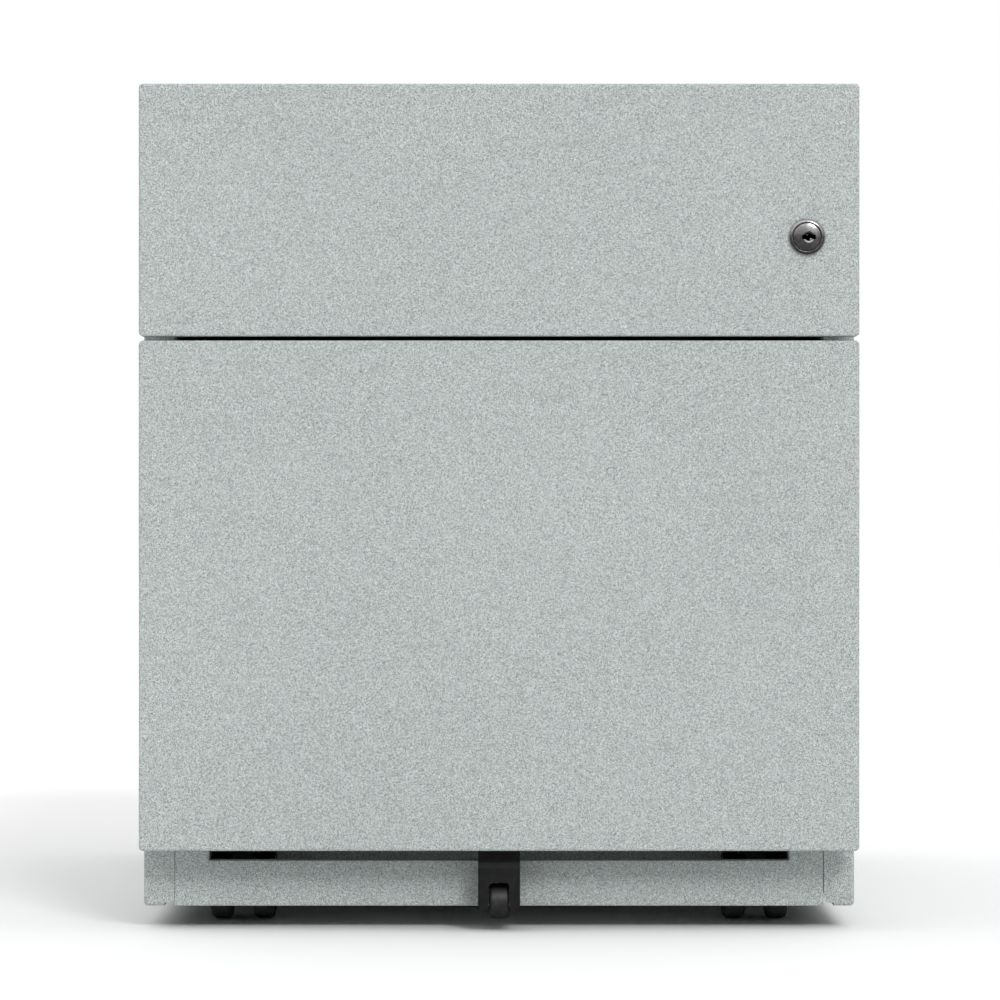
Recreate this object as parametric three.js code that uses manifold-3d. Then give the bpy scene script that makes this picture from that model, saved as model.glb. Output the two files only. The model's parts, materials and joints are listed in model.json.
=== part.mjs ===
// Two-drawer steel filing pedestal on castors: a stationery drawer over a filing drawer.
// Millimetres, +Z up, the drawers open towards -Y. The origin is on the floor under the middle of the cabinet.
// Every folded sheet, slide member, lock piece and castor piece is its own mesh.
import * as THREE from "three";
import { mergeVertices } from "three/addons/utils/BufferGeometryUtils.js";
import Module from "manifold-3d";

// ---- Overall sizes ----
const WIDTH = 420; // across the drawer fronts
const HEIGHT = 495; // floor to the top face
const DEPTH = 565; // drawer face to back face

// ---- Sheet metal ----
const SHEET = 1; // thickness of every folded sheet
const BEND = 1.6; // outside radius of a fold
const GAP = 0.3; // between pieces that are fixed face to face
const HEM = 8; // height of a folded safe edge

// ---- Carcass ----
const REVEAL = 0.5; // the drawer fronts stand past the carcass by this much on each side
const STANDOFF = 30; // drawer face to the carcass's front plane
const FLOOR_GAP = 13; // carcass skirt to the floor
const FRONT_RETURN = 18; // width of the side panel's front return
const EDGE_RETURN = 12; // width of its top, bottom and rear returns
const TOP_FLANGE = 25; // depth of the flange over the top drawer
const UPRIGHT_FACE = 19.5; // carcass side to the face that carries the slides
const UPRIGHT_DEPTH = 26;
const BASE_FLANGE = 20;
const PLINTH_TAB = 19.5; // width of the raised ends of the plinth
const SLOT_HEIGHT = 6.6; // between the plinth's edge and the drawer front above it

// ---- Drawer fronts ----
const TOP_FRONT_HEIGHT = 147.2;
const SEAM = 2.5; // between the two fronts
const PAN_DEPTH = 14; // depth of the folded front; the rest of the standoff is the finger gap
const PAN_LIP = 12; // lip turned in behind the front's edges
const PAN_RADIUS = 1.5;
const SPACER_HALF = 150; // half width of the inner front between the two finger gaps
const SPACER_FLANGE = 20;
const SPACER_MARGIN = 4; // inner front's top and bottom to the front's edges
const CLOSED_GAP = 1; // inner front to the carcass's front plane when shut

// ---- Trays ----
const REAR_SPACE = 35; // behind the trays
const TRAY_LENGTH = DEPTH - STANDOFF - REAR_SPACE;
const TRAY_CLEARANCE = 5; // tray floor over the base
const TOP_TRAY_RISE = 6.2; // top tray's floor above the bottom edge of its front
const TOP_TRAY_WALL = 96;
const FILE_TRAY_DROP = 45; // top edge of the filing tray below the top edge of its front

// ---- Hanging-file rails ----
const RAIL_SPACING = 330; // between rail centres, for A4 suspension files
const RAIL_THICKNESS = 2;
const RAIL_ABOVE = 12; // rail above the tray's edge
const RAIL_BELOW = 10;

// ---- Telescopic slides ----
const SLIDE_LENGTH = TRAY_LENGTH;
const SLIDE_THICKNESS = 12.7;
const TOP_SLIDE_HEIGHT = 35;
const FILE_SLIDE_HEIGHT = 45;
const SLIDE_STEEL = 1.2;
const SLIDE_MIDDLE_STEEL = 1;
const BALL_SPACE = 3.2; // raceway height for the balls
const SLIDE_SETBACK = 4; // slide's front end behind the carcass's front plane
const TOP_SLIDE_RISE = 2; // slide's bottom edge above the top tray's floor
const FILE_SLIDE_RISE = 72;
const REAR_UPRIGHT_FROM_END = 50; // slide's rear end to the rear upright's front

// ---- Cylinder lock ----
const LOCK_FROM_EDGE = 30.7; // lock axis to the front's right edge
const LOCK_BELOW_TOP = 89.6;
const LOCK_FLANGE_PROUD = 3.2;
const LOCK_BODY_RADIUS = 9.5;
const LOCK_FLANGE_RADIUS = LOCK_BODY_RADIUS + 1.25;
const LOCK_PLUG_RADIUS = LOCK_BODY_RADIUS - 1.4;
const LOCK_CLEARANCE = 0.1; // plug in its bore
const LOCK_NUT_FLATS = 24;
const LOCK_NUT_THICKNESS = 4;
const KEYWAY_WIDTH = 8.1;
const KEYWAY_HEIGHT = 2.7;
const KEYWAY_OFFSET = 1;
const KEYWAY_MOUTH_RADIUS = 2.5;
const KEYWAY_DEPTH = 14;
const CAM_THICKNESS = 2;
const CAM_DRIVE = 7; // square that turns the cam
const CRANK_RADIUS = 7; // lock axis to the cam's pin
const CRANK_PIN_RADIUS = 2;
const CRANK_ANGLE = -Math.PI / 4; // where the pin stands when unlocked

// ---- Lock bar and the catches it drops behind ----
const BAR_THICKNESS = 2;
const BAR_WIDTH = 8; // along the drawer's travel, short enough to stay in front of the catches
const BAR_INSET = 4; // bar to the upright's inner web
const TAB_SETBACK = 6; // cam tab behind the carcass's front plane
const HOOK_SETBACK = 10;
const CATCH_SETBACK = 14;
const HOOK_HEIGHT = 10;
const HOOK_CLEARANCE = 2.3; // hook to catch when unlocked
const HOOK_REACH = 9.5; // past the upright's face
const CATCH_THICKNESS = 1.5;
const CATCH_REACH = 9;
const CATCH_FOOT = 16; // its foot along the tray's wall
const TOP_CATCH_FROM_TOP = 15; // catch's top edge to the tray's top edge
const FILE_CATCH_FROM_TOP = 10;
const PIN_PLAY = 0.5;

// ---- Castors ----
const WHEEL_RADIUS = 20;
const WHEEL_WIDTH = 13.1;
const WHEEL_EDGE = 3.6; // rounding of the tread
const WHEEL_SPLIT = 12.4; // between the two wheels
const AXLE_RADIUS = 2.5;
const AXLE_CLEARANCE = 0.08;
const CASTOR_TRAIL = 14; // axle behind the swivel axis
const CASTOR_HEAD = 10; // base plate above the top of the wheels
const CASTOR_FROM_SIDE = 55.5;
const CASTOR_FROM_FRONT = 44.5; // swivel axis behind the carcass's front plane
const CASTOR_FROM_BACK = 46.5;
const CASTOR_PLATE = 38;
const CASTOR_PLATE_THICKNESS = 1.7;
const PIVOT_RADIUS = 4;
const HOOD_WALL = 1.6;
const HOOD_CLEARANCE = 1;

// ---- Fifth wheel under the filing drawer ----
const FIFTH_WIDTH = 24.5;
const FIFTH_WELL = 12;
const FIFTH_SETBACK = 2.5; // housing behind the drawer face
const FIFTH_PLINTH_GAP = 3.5;
const FIFTH_WALL = 2;
const FIFTH_WHEEL_WIDTH = 10.5;
const FIFTH_WHEEL_FLOOR = 7.3; // the wheel clears the floor by this much
const FIFTH_EDGE = 1.8; // rounding of its tread
const FIFTH_AXLE_RADIUS = 1.5;

// ---- Planes worked out from the sizes ----
const FACE_Y = -DEPTH / 2;
const BACK_Y = DEPTH / 2;
const FRAME_Y = FACE_Y + STANDOFF;
const BODY_HALF = WIDTH / 2 - REVEAL;
const BASE_Z = 2 * WHEEL_RADIUS + CASTOR_HEAD;
const FRONT_BOTTOM_Z = BASE_Z - 2.2;
const FILE_FRONT_TOP_Z = HEIGHT - TOP_FRONT_HEIGHT - SEAM;
const TOP_FRONT_BOTTOM_Z = FILE_FRONT_TOP_Z + SEAM;
const WALL_TOP_Z = HEIGHT - SHEET - GAP;
const UPRIGHT_X = BODY_HALF - UPRIGHT_FACE;
const SLIDE_X = UPRIGHT_X - GAP;
const TRAY_HALF = SLIDE_X - SLIDE_THICKNESS - GAP;
const TRAY_Y = FRAME_Y - CLOSED_GAP + GAP;
const SLIDE_Y = FRAME_Y + SLIDE_SETBACK;
const TOP_TRAY_Z = TOP_FRONT_BOTTOM_Z + TOP_TRAY_RISE;
const FILE_TRAY_Z = BASE_Z + SHEET + TRAY_CLEARANCE;
const FILE_TRAY_WALL = FILE_FRONT_TOP_Z - FILE_TRAY_DROP - FILE_TRAY_Z;
const TOP_SLIDE_Z = TOP_TRAY_Z + TOP_SLIDE_RISE + TOP_SLIDE_HEIGHT / 2;
const FILE_SLIDE_Z = FILE_TRAY_Z + FILE_SLIDE_RISE + FILE_SLIDE_HEIGHT / 2;
const LOCK_X = WIDTH / 2 - LOCK_FROM_EDGE;
const LOCK_Z = HEIGHT - LOCK_BELOW_TOP;
const PIN_X = LOCK_X + CRANK_RADIUS * Math.cos(CRANK_ANGLE);
const PIN_Z = LOCK_Z + CRANK_RADIUS * Math.sin(CRANK_ANGLE);

const POWDER_COAT = { color: 0xb4bcba, roughness: 0.62, metalness: 0.1 };
const ZINC = { color: 0xb9bcc0, roughness: 0.35, metalness: 0.9 };
const BLACK_PLASTIC = { color: 0x1b1c1c, roughness: 0.55, metalness: 0 };
const BLACK_TREAD = { color: 0x222323, roughness: 0.8, metalness: 0 };
const DARK_NICKEL = { color: 0x4b494c, roughness: 0.25, metalness: 0.95 };

// ---- Solids ----
const wasm = await Module();
wasm.setup();
const WELD = 1e-4;
const GRID = 1 / 1024; // every coordinate is rounded to this, so faces meant to be flush are exactly flush
const BITE = 0.4; // how far joined blocks run into each other

function snapped(geometry) {
  const { array } = geometry.attributes.position;
  for (let i = 0; i < array.length; i += 1) array[i] = Math.round(array[i] / GRID) * GRID;
  return geometry;
}

function solidOf(geometry) {
  const bare = geometry.index ? geometry.toNonIndexed() : geometry.clone();
  bare.deleteAttribute("normal");
  bare.deleteAttribute("uv");
  const welded = mergeVertices(snapped(bare), WELD);
  return new wasm.Manifold(
    new wasm.Mesh({
      numProp: 3,
      vertProperties: welded.attributes.position.array,
      triVerts: new Uint32Array(welded.index.array),
    }),
  );
}

function geometryOf(solid) {
  const mesh = solid.getMesh();
  const geometry = new THREE.BufferGeometry();
  geometry.setAttribute("position", new THREE.BufferAttribute(mesh.vertProperties, 3));
  geometry.setIndex(new THREE.BufferAttribute(mesh.triVerts, 1));
  geometry.computeVertexNormals();
  return geometry;
}

function join(...geometries) {
  return geometryOf(geometries.map(solidOf).reduce((whole, piece) => whole.add(piece)));
}

function cut(geometry, ...tools) {
  return geometryOf(tools.map(solidOf).reduce((left, tool) => left.subtract(tool), solidOf(geometry)));
}

// ---- Shapes ----
function block([x0, x1], [y0, y1], [z0, z1]) {
  const box = new THREE.BoxGeometry(x1 - x0, y1 - y0, z1 - z0);
  return box.translate((x0 + x1) / 2, (y0 + y1) / 2, (z0 + z1) / 2);
}

function extrude(outline, length, options = {}) {
  const shape = new THREE.Shape(outline.map(([u, v]) => new THREE.Vector2(u, v)));
  return new THREE.ExtrudeGeometry(shape, { depth: length, bevelEnabled: false, ...options });
}

// An outline in x and y, upwards.
function extrudeUp(outline, [z0, z1]) {
  return extrude(outline, z1 - z0).translate(0, 0, z0);
}

// An outline in x and z, along y.
function extrudeBack(outline, [y0, y1]) {
  return extrude(outline, y1 - y0).rotateX(Math.PI / 2).translate(0, y1, 0);
}

// An outline in y and z, along x.
function extrudeAcross(outline, [x0, x1]) {
  return extrude(outline, x1 - x0)
    .rotateX(Math.PI / 2)
    .rotateZ(Math.PI / 2)
    .translate(x0, 0, 0);
}

function rodX(radius, [x0, x1], y, z, sides = 12) {
  const rod = new THREE.CylinderGeometry(radius, radius, x1 - x0, sides).rotateZ(Math.PI / 2);
  return rod.translate((x0 + x1) / 2, y, z);
}

function rodY(radius, x, [y0, y1], z, sides = 24) {
  return new THREE.CylinderGeometry(radius, radius, y1 - y0, sides).translate(x, (y0 + y1) / 2, z);
}

function rodZ(radius, x, y, [z0, z1], sides = 16) {
  const rod = new THREE.CylinderGeometry(radius, radius, z1 - z0, sides).rotateX(Math.PI / 2);
  return rod.translate(x, y, (z0 + z1) / 2);
}

// Points round a corner: `corner` is replaced by an arc that meets both of its sides.
const FOLD_STEPS = 3;

function cornerArc(before, corner, after, radius, steps = FOLD_STEPS) {
  const come = corner.clone().sub(before).normalize();
  const go = after.clone().sub(corner).normalize();
  const turn = come.cross(go);
  const angle = Math.abs(Math.atan2(turn, come.dot(go)));
  if (radius <= 0 || angle < 1e-6) return [corner.clone()];
  const start = corner.clone().addScaledVector(come, -radius * Math.tan(angle / 2));
  const side = new THREE.Vector2(-come.y, come.x).multiplyScalar(Math.sign(turn));
  const centre = start.clone().addScaledVector(side, radius);
  return Array.from({ length: steps + 1 }, (_, i) =>
    start.clone().rotateAround(centre, (Math.sign(turn) * angle * i) / steps),
  );
}

// A closed outline with one radius at each corner.
function roundedOutline(points, radii, steps) {
  const corners = points.map(([u, v]) => new THREE.Vector2(u, v));
  const count = corners.length;
  return corners.flatMap((corner, i) =>
    cornerArc(corners[(i + count - 1) % count], corner, corners[(i + 1) % count], radii[i], steps).map((p) => [p.x, p.y]),
  );
}

function rectangle([u0, u1], [v0, v1]) {
  return [[u0, v0], [u1, v0], [u1, v1], [u0, v1]];
}

// The outline of a sheet folded along `line`, which is its one face. The thickness lies on the line's left.
function foldedSheet(line, thickness = SHEET, bend = BEND) {
  const face = line.map(([u, v]) => new THREE.Vector2(u, v));
  const directions = face.slice(1).map((p, i) => p.clone().sub(face[i]).normalize());
  const normals = directions.map((d) => new THREE.Vector2(-d.y, d.x));
  const other = face.map((p, i) => {
    const a = normals[Math.max(i - 1, 0)];
    const b = normals[Math.min(i, normals.length - 1)];
    return p.clone().addScaledVector(a.clone().add(b), thickness / (1 + a.dot(b)));
  });
  const inside = Math.max(bend - thickness, 0);
  const follow = (points, isFace) =>
    points.flatMap((p, i) => {
      if (i === 0 || i === points.length - 1) return [p];
      const left = directions[i - 1].cross(directions[i]) > 0;
      return cornerArc(points[i - 1], p, points[i + 1], left === isFace ? bend : inside);
    });
  return [...follow(face, true), ...follow(other, false).reverse()].map((p) => [p.x, p.y]);
}

// ---- The model ----
const cabinet = new THREE.Group();
const finishes = new Map();

function add(name, geometry, finish, mirrored = false) {
  if (!finishes.has(finish)) finishes.set(finish, new THREE.MeshStandardMaterial(finish));
  const mesh = new THREE.Mesh(snapped(geometry), finishes.get(finish));
  mesh.name = name;
  if (mirrored) mesh.scale.x = -1;
  cabinet.add(mesh);
  return mesh;
}

// Adds a right-hand piece and its mirror image.
function addPair(rightName, leftName, geometry, finish) {
  add(rightName, geometry, finish);
  add(leftName, geometry, finish, true);
}

// ---- Carcass ----
function sidePanel() {
  const rearY = BACK_Y - SHEET - GAP;
  const section = foldedSheet([
    [BODY_HALF - FRONT_RETURN, FRAME_Y],
    [BODY_HALF, FRAME_Y],
    [BODY_HALF, rearY],
    [BODY_HALF - EDGE_RETURN, rearY],
  ]);
  const across = [BODY_HALF - EDGE_RETURN, BODY_HALF - BITE];
  const along = [FRAME_Y + BITE, rearY - BITE];
  return join(
    extrudeUp(section, [FLOOR_GAP, WALL_TOP_Z]),
    block(across, along, [WALL_TOP_Z - SHEET, WALL_TOP_Z]),
    block(across, along, [FLOOR_GAP, FLOOR_GAP + SHEET]),
  );
}

function topPanel() {
  const flangeHalf = BODY_HALF - FRONT_RETURN - GAP;
  const section = foldedSheet([
    [FRAME_Y + HEM, HEIGHT - SHEET + BITE],
    [FRAME_Y, HEIGHT - SHEET + BITE],
    [FRAME_Y, HEIGHT - TOP_FLANGE],
  ]);
  const safeEdge = block(
    [-UPRIGHT_X + GAP, UPRIGHT_X - GAP],
    [FRAME_Y + BITE, FRAME_Y + HEM],
    [HEIGHT - TOP_FLANGE, HEIGHT - TOP_FLANGE + SHEET],
  );
  return join(
    block([-BODY_HALF, BODY_HALF], [FRAME_Y, BACK_Y], [HEIGHT - SHEET, HEIGHT]),
    extrudeAcross(section, [-flangeHalf, flangeHalf]),
    safeEdge,
  );
}

function backPanel() {
  return block([-BODY_HALF, BODY_HALF], [BACK_Y - SHEET, BACK_Y], [FLOOR_GAP, WALL_TOP_Z]);
}

function basePan() {
  const half = BODY_HALF - SHEET - GAP;
  const frontY = FRAME_Y + SHEET + GAP;
  const rearY = BACK_Y - 2 * (SHEET + GAP);
  const flangeTop = BASE_Z + BITE;
  const section = foldedSheet([
    [half, BASE_Z - BASE_FLANGE],
    [half, BASE_Z + SHEET],
    [-half, BASE_Z + SHEET],
    [-half, BASE_Z - BASE_FLANGE],
  ]);
  const rearHalf = BODY_HALF - EDGE_RETURN - GAP;
  return join(
    extrudeBack(section, [frontY, rearY]),
    block([-rearHalf, rearHalf], [rearY - SHEET, rearY], [BASE_Z - BASE_FLANGE, flangeTop]),
  );
}

// The skirt under the filing drawer. Its ends stand higher than its middle, which leaves the long slot.
function frontPlinth() {
  const half = BODY_HALF - FRONT_RETURN - GAP;
  const tabX = half - PLINTH_TAB;
  const middleZ = FRONT_BOTTOM_Z - SLOT_HEIGHT;
  const tabZ = BASE_Z - GAP;
  const outline = roundedOutline(
    [
      [-half, FLOOR_GAP],
      [half, FLOOR_GAP],
      [half, tabZ],
      [tabX, tabZ],
      [tabX, middleZ],
      [-tabX, middleZ],
      [-tabX, tabZ],
      [-half, tabZ],
    ],
    [BEND, BEND, 0, 0, 0, 0, 0, 0],
  );
  const tabReturn = ([x0, x1]) => block([x0, x1], [FRAME_Y + BITE, FRAME_Y + EDGE_RETURN], [tabZ - SHEET, tabZ]);
  return join(
    extrudeBack(outline, [FRAME_Y, FRAME_Y + SHEET]),
    block([-half + BEND, half - BEND], [FRAME_Y + BITE, FRAME_Y + 2 * SHEET], [FLOOR_GAP, FLOOR_GAP + HEM]),
    block([-tabX, tabX], [FRAME_Y + BITE, FRAME_Y + HEM], [middleZ - SHEET, middleZ]),
    tabReturn([tabX, half]),
    tabReturn([-half, -tabX]),
  );
}

function uprightSection(frontY, depth) {
  const outer = BODY_HALF - SHEET - GAP;
  return foldedSheet([
    [outer, frontY + depth],
    [UPRIGHT_X, frontY + depth],
    [UPRIGHT_X, frontY],
    [outer, frontY],
  ]);
}

const UPRIGHT_Z = [BASE_Z + SHEET + GAP, WALL_TOP_Z - SHEET - GAP];

function frontUpright() {
  return extrudeUp(uprightSection(FRAME_Y + SHEET + GAP, UPRIGHT_DEPTH), UPRIGHT_Z);
}

function rearUpright() {
  return extrudeUp(uprightSection(SLIDE_Y + SLIDE_LENGTH - REAR_UPRIGHT_FROM_END, UPRIGHT_DEPTH), UPRIGHT_Z);
}

// ---- Lock bar geometry, shared by the bar, the upright's windows and the catches ----
const LIFT = 2 * CRANK_RADIUS * Math.sin(-CRANK_ANGLE);
const BAR_X = UPRIGHT_X + SHEET + BAR_INSET - SHEET;
const TOP_CATCH_Z = TOP_TRAY_Z + TOP_TRAY_WALL - TOP_CATCH_FROM_TOP - HOOK_HEIGHT;
const FILE_CATCH_Z = FILE_TRAY_Z + FILE_TRAY_WALL - FILE_CATCH_FROM_TOP - HOOK_HEIGHT;
const WINDOW_PLAY = 2;
const hookZ = (catchZ) => [catchZ - HOOK_CLEARANCE - HOOK_HEIGHT, catchZ - HOOK_CLEARANCE];

function upperAndLowerWindow() {
  const x = [UPRIGHT_X - SHEET, UPRIGHT_X + 2 * SHEET];
  const y = [FRAME_Y + TAB_SETBACK - WINDOW_PLAY, FRAME_Y + HOOK_SETBACK + BAR_THICKNESS + WINDOW_PLAY];
  const tabBottom = PIN_Z - CRANK_PIN_RADIUS - PIN_PLAY - BAR_THICKNESS - SHEET;
  const [, topHook] = hookZ(TOP_CATCH_Z);
  const [fileHook] = hookZ(FILE_CATCH_Z);
  return [
    block(x, y, [tabBottom - WINDOW_PLAY, topHook + LIFT + WINDOW_PLAY]),
    block(x, y, [fileHook - WINDOW_PLAY, fileHook + HOOK_HEIGHT + LIFT + WINDOW_PLAY]),
  ];
}

function addCarcass() {
  addPair("right_side_panel", "left_side_panel", sidePanel(), POWDER_COAT);
  add("top_panel", topPanel(), POWDER_COAT);
  add("back_panel", backPanel(), POWDER_COAT);
  add("base_pan", basePan(), POWDER_COAT);
  add("front_plinth", frontPlinth(), POWDER_COAT);
  add("left_front_upright", frontUpright(), POWDER_COAT, true);
  add("right_front_upright", cut(frontUpright(), ...upperAndLowerWindow()), POWDER_COAT);
  addPair("right_rear_upright", "left_rear_upright", rearUpright(), POWDER_COAT);
}

// ---- Telescopic slides ----
// A member is an open channel. `near` and `far` are its extent from the upright's face towards the tray.
function channelOutline(near, far, halfHeight, steel, lip, opensToTray, z) {
  const at = (distance, height) => [SLIDE_X - distance, z + height];
  const web = opensToTray ? near : far;
  const mouth = opensToTray ? far : near;
  const line = [
    ...(lip ? [at(mouth, halfHeight - lip)] : []),
    at(mouth, halfHeight),
    at(web, halfHeight),
    at(web, -halfHeight),
    at(mouth, -halfHeight),
    ...(lip ? [at(mouth, lip - halfHeight)] : []),
  ];
  // Runs so that the steel's thickness lies inside the channel.
  return foldedSheet(opensToTray ? line.reverse() : line, steel, steel + SHEET / 2);
}

function slideMembers(height, z) {
  const y = [SLIDE_Y, SLIDE_Y + SLIDE_LENGTH];
  const outerHalf = height / 2;
  const middleHalf = outerHalf - SLIDE_STEEL - BALL_SPACE;
  const innerHalf = middleHalf - SLIDE_MIDDLE_STEEL - BALL_SPACE;
  const mouth = SLIDE_THICKNESS - 2.5;
  const lip = BALL_SPACE - SHEET / 2;
  const middleWeb = SLIDE_STEEL + SHEET;
  return {
    outer: extrudeBack(channelOutline(0, mouth, outerHalf, SLIDE_STEEL, lip, true, z), y),
    middle: extrudeBack(channelOutline(middleWeb, mouth + BITE, middleHalf, SLIDE_MIDDLE_STEEL, lip, true, z), y),
    inner: extrudeBack(
      channelOutline(middleWeb + 2 * SHEET + BITE, SLIDE_THICKNESS, innerHalf, SLIDE_STEEL, 0, false, z),
      y,
    ),
  };
}

function addSlides(drawer, height, z) {
  for (const [member, geometry] of Object.entries(slideMembers(height, z))) {
    addPair(`${drawer}_right_slide_${member}`, `${drawer}_left_slide_${member}`, geometry, ZINC);
  }
}

// ---- Drawers ----
function tray(z, wall) {
  const back = TRAY_Y + TRAY_LENGTH;
  const top = z + wall;
  return cut(
    block([-TRAY_HALF, TRAY_HALF], [TRAY_Y, back], [z, top]),
    block([-TRAY_HALF + SHEET, TRAY_HALF - SHEET], [TRAY_Y + SHEET, back - SHEET], [z + SHEET, top + SHEET]),
  );
}

// The folded drawer front: a shallow pan with lips turned in behind its edges.
function frontPan(z0, z1) {
  const half = WIDTH / 2;
  const outline = roundedOutline(
    rectangle([-half + PAN_RADIUS, half - PAN_RADIUS], [z0 + PAN_RADIUS, z1 - PAN_RADIUS]),
    [0, 0, 0, 0],
  );
  const skin = extrude(outline, PAN_DEPTH - 2 * PAN_RADIUS, {
    bevelEnabled: true,
    bevelThickness: PAN_RADIUS,
    bevelSize: PAN_RADIUS,
    bevelSegments: 3,
  })
    .rotateX(Math.PI / 2)
    .translate(0, FACE_Y + PAN_DEPTH - PAN_RADIUS, 0);
  const hollow = block(
    [-half + SHEET, half - SHEET],
    [FACE_Y + SHEET, FACE_Y + PAN_DEPTH - SHEET],
    [z0 + SHEET, z1 - SHEET],
  );
  const opening = block(
    [-half + PAN_LIP, half - PAN_LIP],
    [FACE_Y + PAN_DEPTH / 2, FACE_Y + PAN_DEPTH + SHEET],
    [z0 + PAN_LIP, z1 - PAN_LIP],
  );
  return cut(skin, hollow, opening);
}

// The inner front ties the pan to the tray and leaves a finger gap on each side of it.
function innerFront(z0, z1) {
  const plateY = FACE_Y + PAN_DEPTH + GAP;
  const flangeY = FRAME_Y - CLOSED_GAP - SHEET;
  const outline = foldedSheet([
    [-SPACER_HALF - SPACER_FLANGE, flangeY],
    [-SPACER_HALF, flangeY],
    [-SPACER_HALF, plateY],
    [SPACER_HALF, plateY],
    [SPACER_HALF, flangeY],
    [SPACER_HALF + SPACER_FLANGE, flangeY],
  ]);
  return extrudeUp(outline, [z0 + SPACER_MARGIN, z1 - SPACER_MARGIN]);
}

// Angle on the tray's right wall that the lock bar's hook stands in front of.
function latchCatch(z) {
  const footX = TRAY_HALF + GAP;
  const faceY = FRAME_Y + CATCH_SETBACK;
  const outline = foldedSheet(
    [
      [footX, faceY + CATCH_FOOT],
      [footX, faceY],
      [footX + CATCH_REACH, faceY],
    ],
    CATCH_THICKNESS,
    CATCH_THICKNESS + SHEET / 2,
  );
  return extrudeUp(outline, [z, z + HOOK_HEIGHT]);
}

function fileRail() {
  const edge = FILE_TRAY_Z + FILE_TRAY_WALL + GAP;
  const front = TRAY_Y;
  const back = TRAY_Y + TRAY_LENGTH;
  const inset = SHEET + GAP;
  const outline = [
    [front, edge],
    [front + inset, edge],
    [front + inset, edge - RAIL_BELOW],
    [back - inset, edge - RAIL_BELOW],
    [back - inset, edge],
    [back, edge],
    [back, edge + RAIL_ABOVE],
    [front, edge + RAIL_ABOVE],
  ];
  const centre = RAIL_SPACING / 2;
  return extrudeAcross(outline, [centre - RAIL_THICKNESS / 2, centre + RAIL_THICKNESS / 2]);
}

function addTopDrawer() {
  const lockHole = rodY(LOCK_BODY_RADIUS + GAP, LOCK_X, [FACE_Y - 1, FACE_Y + 2 * SHEET], LOCK_Z);
  add("top_drawer_front", cut(frontPan(TOP_FRONT_BOTTOM_Z, HEIGHT), lockHole), POWDER_COAT);
  add("top_drawer_inner_front", innerFront(TOP_FRONT_BOTTOM_Z, HEIGHT), POWDER_COAT);
  add("top_drawer_tray", tray(TOP_TRAY_Z, TOP_TRAY_WALL), POWDER_COAT);
  add("top_drawer_catch", latchCatch(TOP_CATCH_Z), ZINC);
  addSlides("top", TOP_SLIDE_HEIGHT, TOP_SLIDE_Z);
}

function addFileDrawer() {
  add("file_drawer_front", frontPan(FRONT_BOTTOM_Z, FILE_FRONT_TOP_Z), POWDER_COAT);
  add("file_drawer_inner_front", innerFront(FRONT_BOTTOM_Z, FILE_FRONT_TOP_Z), POWDER_COAT);
  add("file_drawer_tray", tray(FILE_TRAY_Z, FILE_TRAY_WALL), POWDER_COAT);
  add("file_drawer_catch", latchCatch(FILE_CATCH_Z), ZINC);
  addPair("right_file_rail", "left_file_rail", fileRail(), ZINC);
  addSlides("file", FILE_SLIDE_HEIGHT, FILE_SLIDE_Z);
}

// ---- Lock ----
const LOCK_REAR_Y = FRAME_Y - 8;
const CAM_Y = LOCK_REAR_Y + 1.5;
const LOCK_SIDES = 28;

function lockHousing() {
  const bore = LOCK_PLUG_RADIUS + LOCK_CLEARANCE;
  const proud = FACE_Y - LOCK_FLANGE_PROUD;
  const profile = [
    [bore, LOCK_REAR_Y],
    [bore, proud],
    [bore + 1.1, proud],
    [LOCK_FLANGE_RADIUS, proud + 1.8],
    [LOCK_FLANGE_RADIUS, FACE_Y - GAP],
    [LOCK_BODY_RADIUS, FACE_Y - GAP],
    [LOCK_BODY_RADIUS, LOCK_REAR_Y],
  ];
  return lathe(profile, LOCK_SIDES).translate(LOCK_X, 0, LOCK_Z);
}

// Turns a closed profile of [radius, height] points, rising on its outside, about the y axis.
function lathe(profile, sides) {
  const points = profile.map(([radius, height]) => new THREE.Vector2(radius, height));
  const onAxis = profile[0][0] === 0 && profile.at(-1)[0] === 0;
  return new THREE.LatheGeometry(onAxis ? points : [...points, points[0].clone()], sides);
}

function lockNut() {
  const corner = LOCK_NUT_FLATS / Math.sqrt(3);
  const y = [FACE_Y + SHEET + GAP, FACE_Y + SHEET + GAP + LOCK_NUT_THICKNESS];
  return cut(
    rodY(corner, LOCK_X, y, LOCK_Z, 6),
    rodY(LOCK_BODY_RADIUS + GAP, LOCK_X, [y[0] - 1, y[1] + 1], LOCK_Z),
  );
}

function lockPlug() {
  const face = FACE_Y - LOCK_FLANGE_PROUD;
  const profile = [
    [0, face],
    [LOCK_PLUG_RADIUS / 2, face + 0.1],
    [LOCK_PLUG_RADIUS - 0.5, face + 0.4],
    [LOCK_PLUG_RADIUS, face + 0.9],
    [LOCK_PLUG_RADIUS, LOCK_REAR_Y],
    [0, LOCK_REAR_Y],
  ];
  const half = CAM_DRIVE / 2;
  const stub = block(
    [LOCK_X - half, LOCK_X + half],
    [LOCK_REAR_Y - BITE, CAM_Y + CAM_THICKNESS + 1],
    [LOCK_Z - half, LOCK_Z + half],
  );
  const keyX = LOCK_X + KEYWAY_OFFSET;
  const keyway = block(
    [keyX - KEYWAY_WIDTH / 2, keyX + KEYWAY_WIDTH / 2],
    [face - 1, face + KEYWAY_DEPTH],
    [LOCK_Z - KEYWAY_HEIGHT / 2, LOCK_Z + KEYWAY_HEIGHT / 2],
  );
  const mouth = rodY(KEYWAY_MOUTH_RADIUS, keyX, [face - 1, face + 2], LOCK_Z, 20);
  return cut(join(lathe(profile, LOCK_SIDES).translate(LOCK_X, 0, LOCK_Z), stub), keyway, mouth);
}

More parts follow.
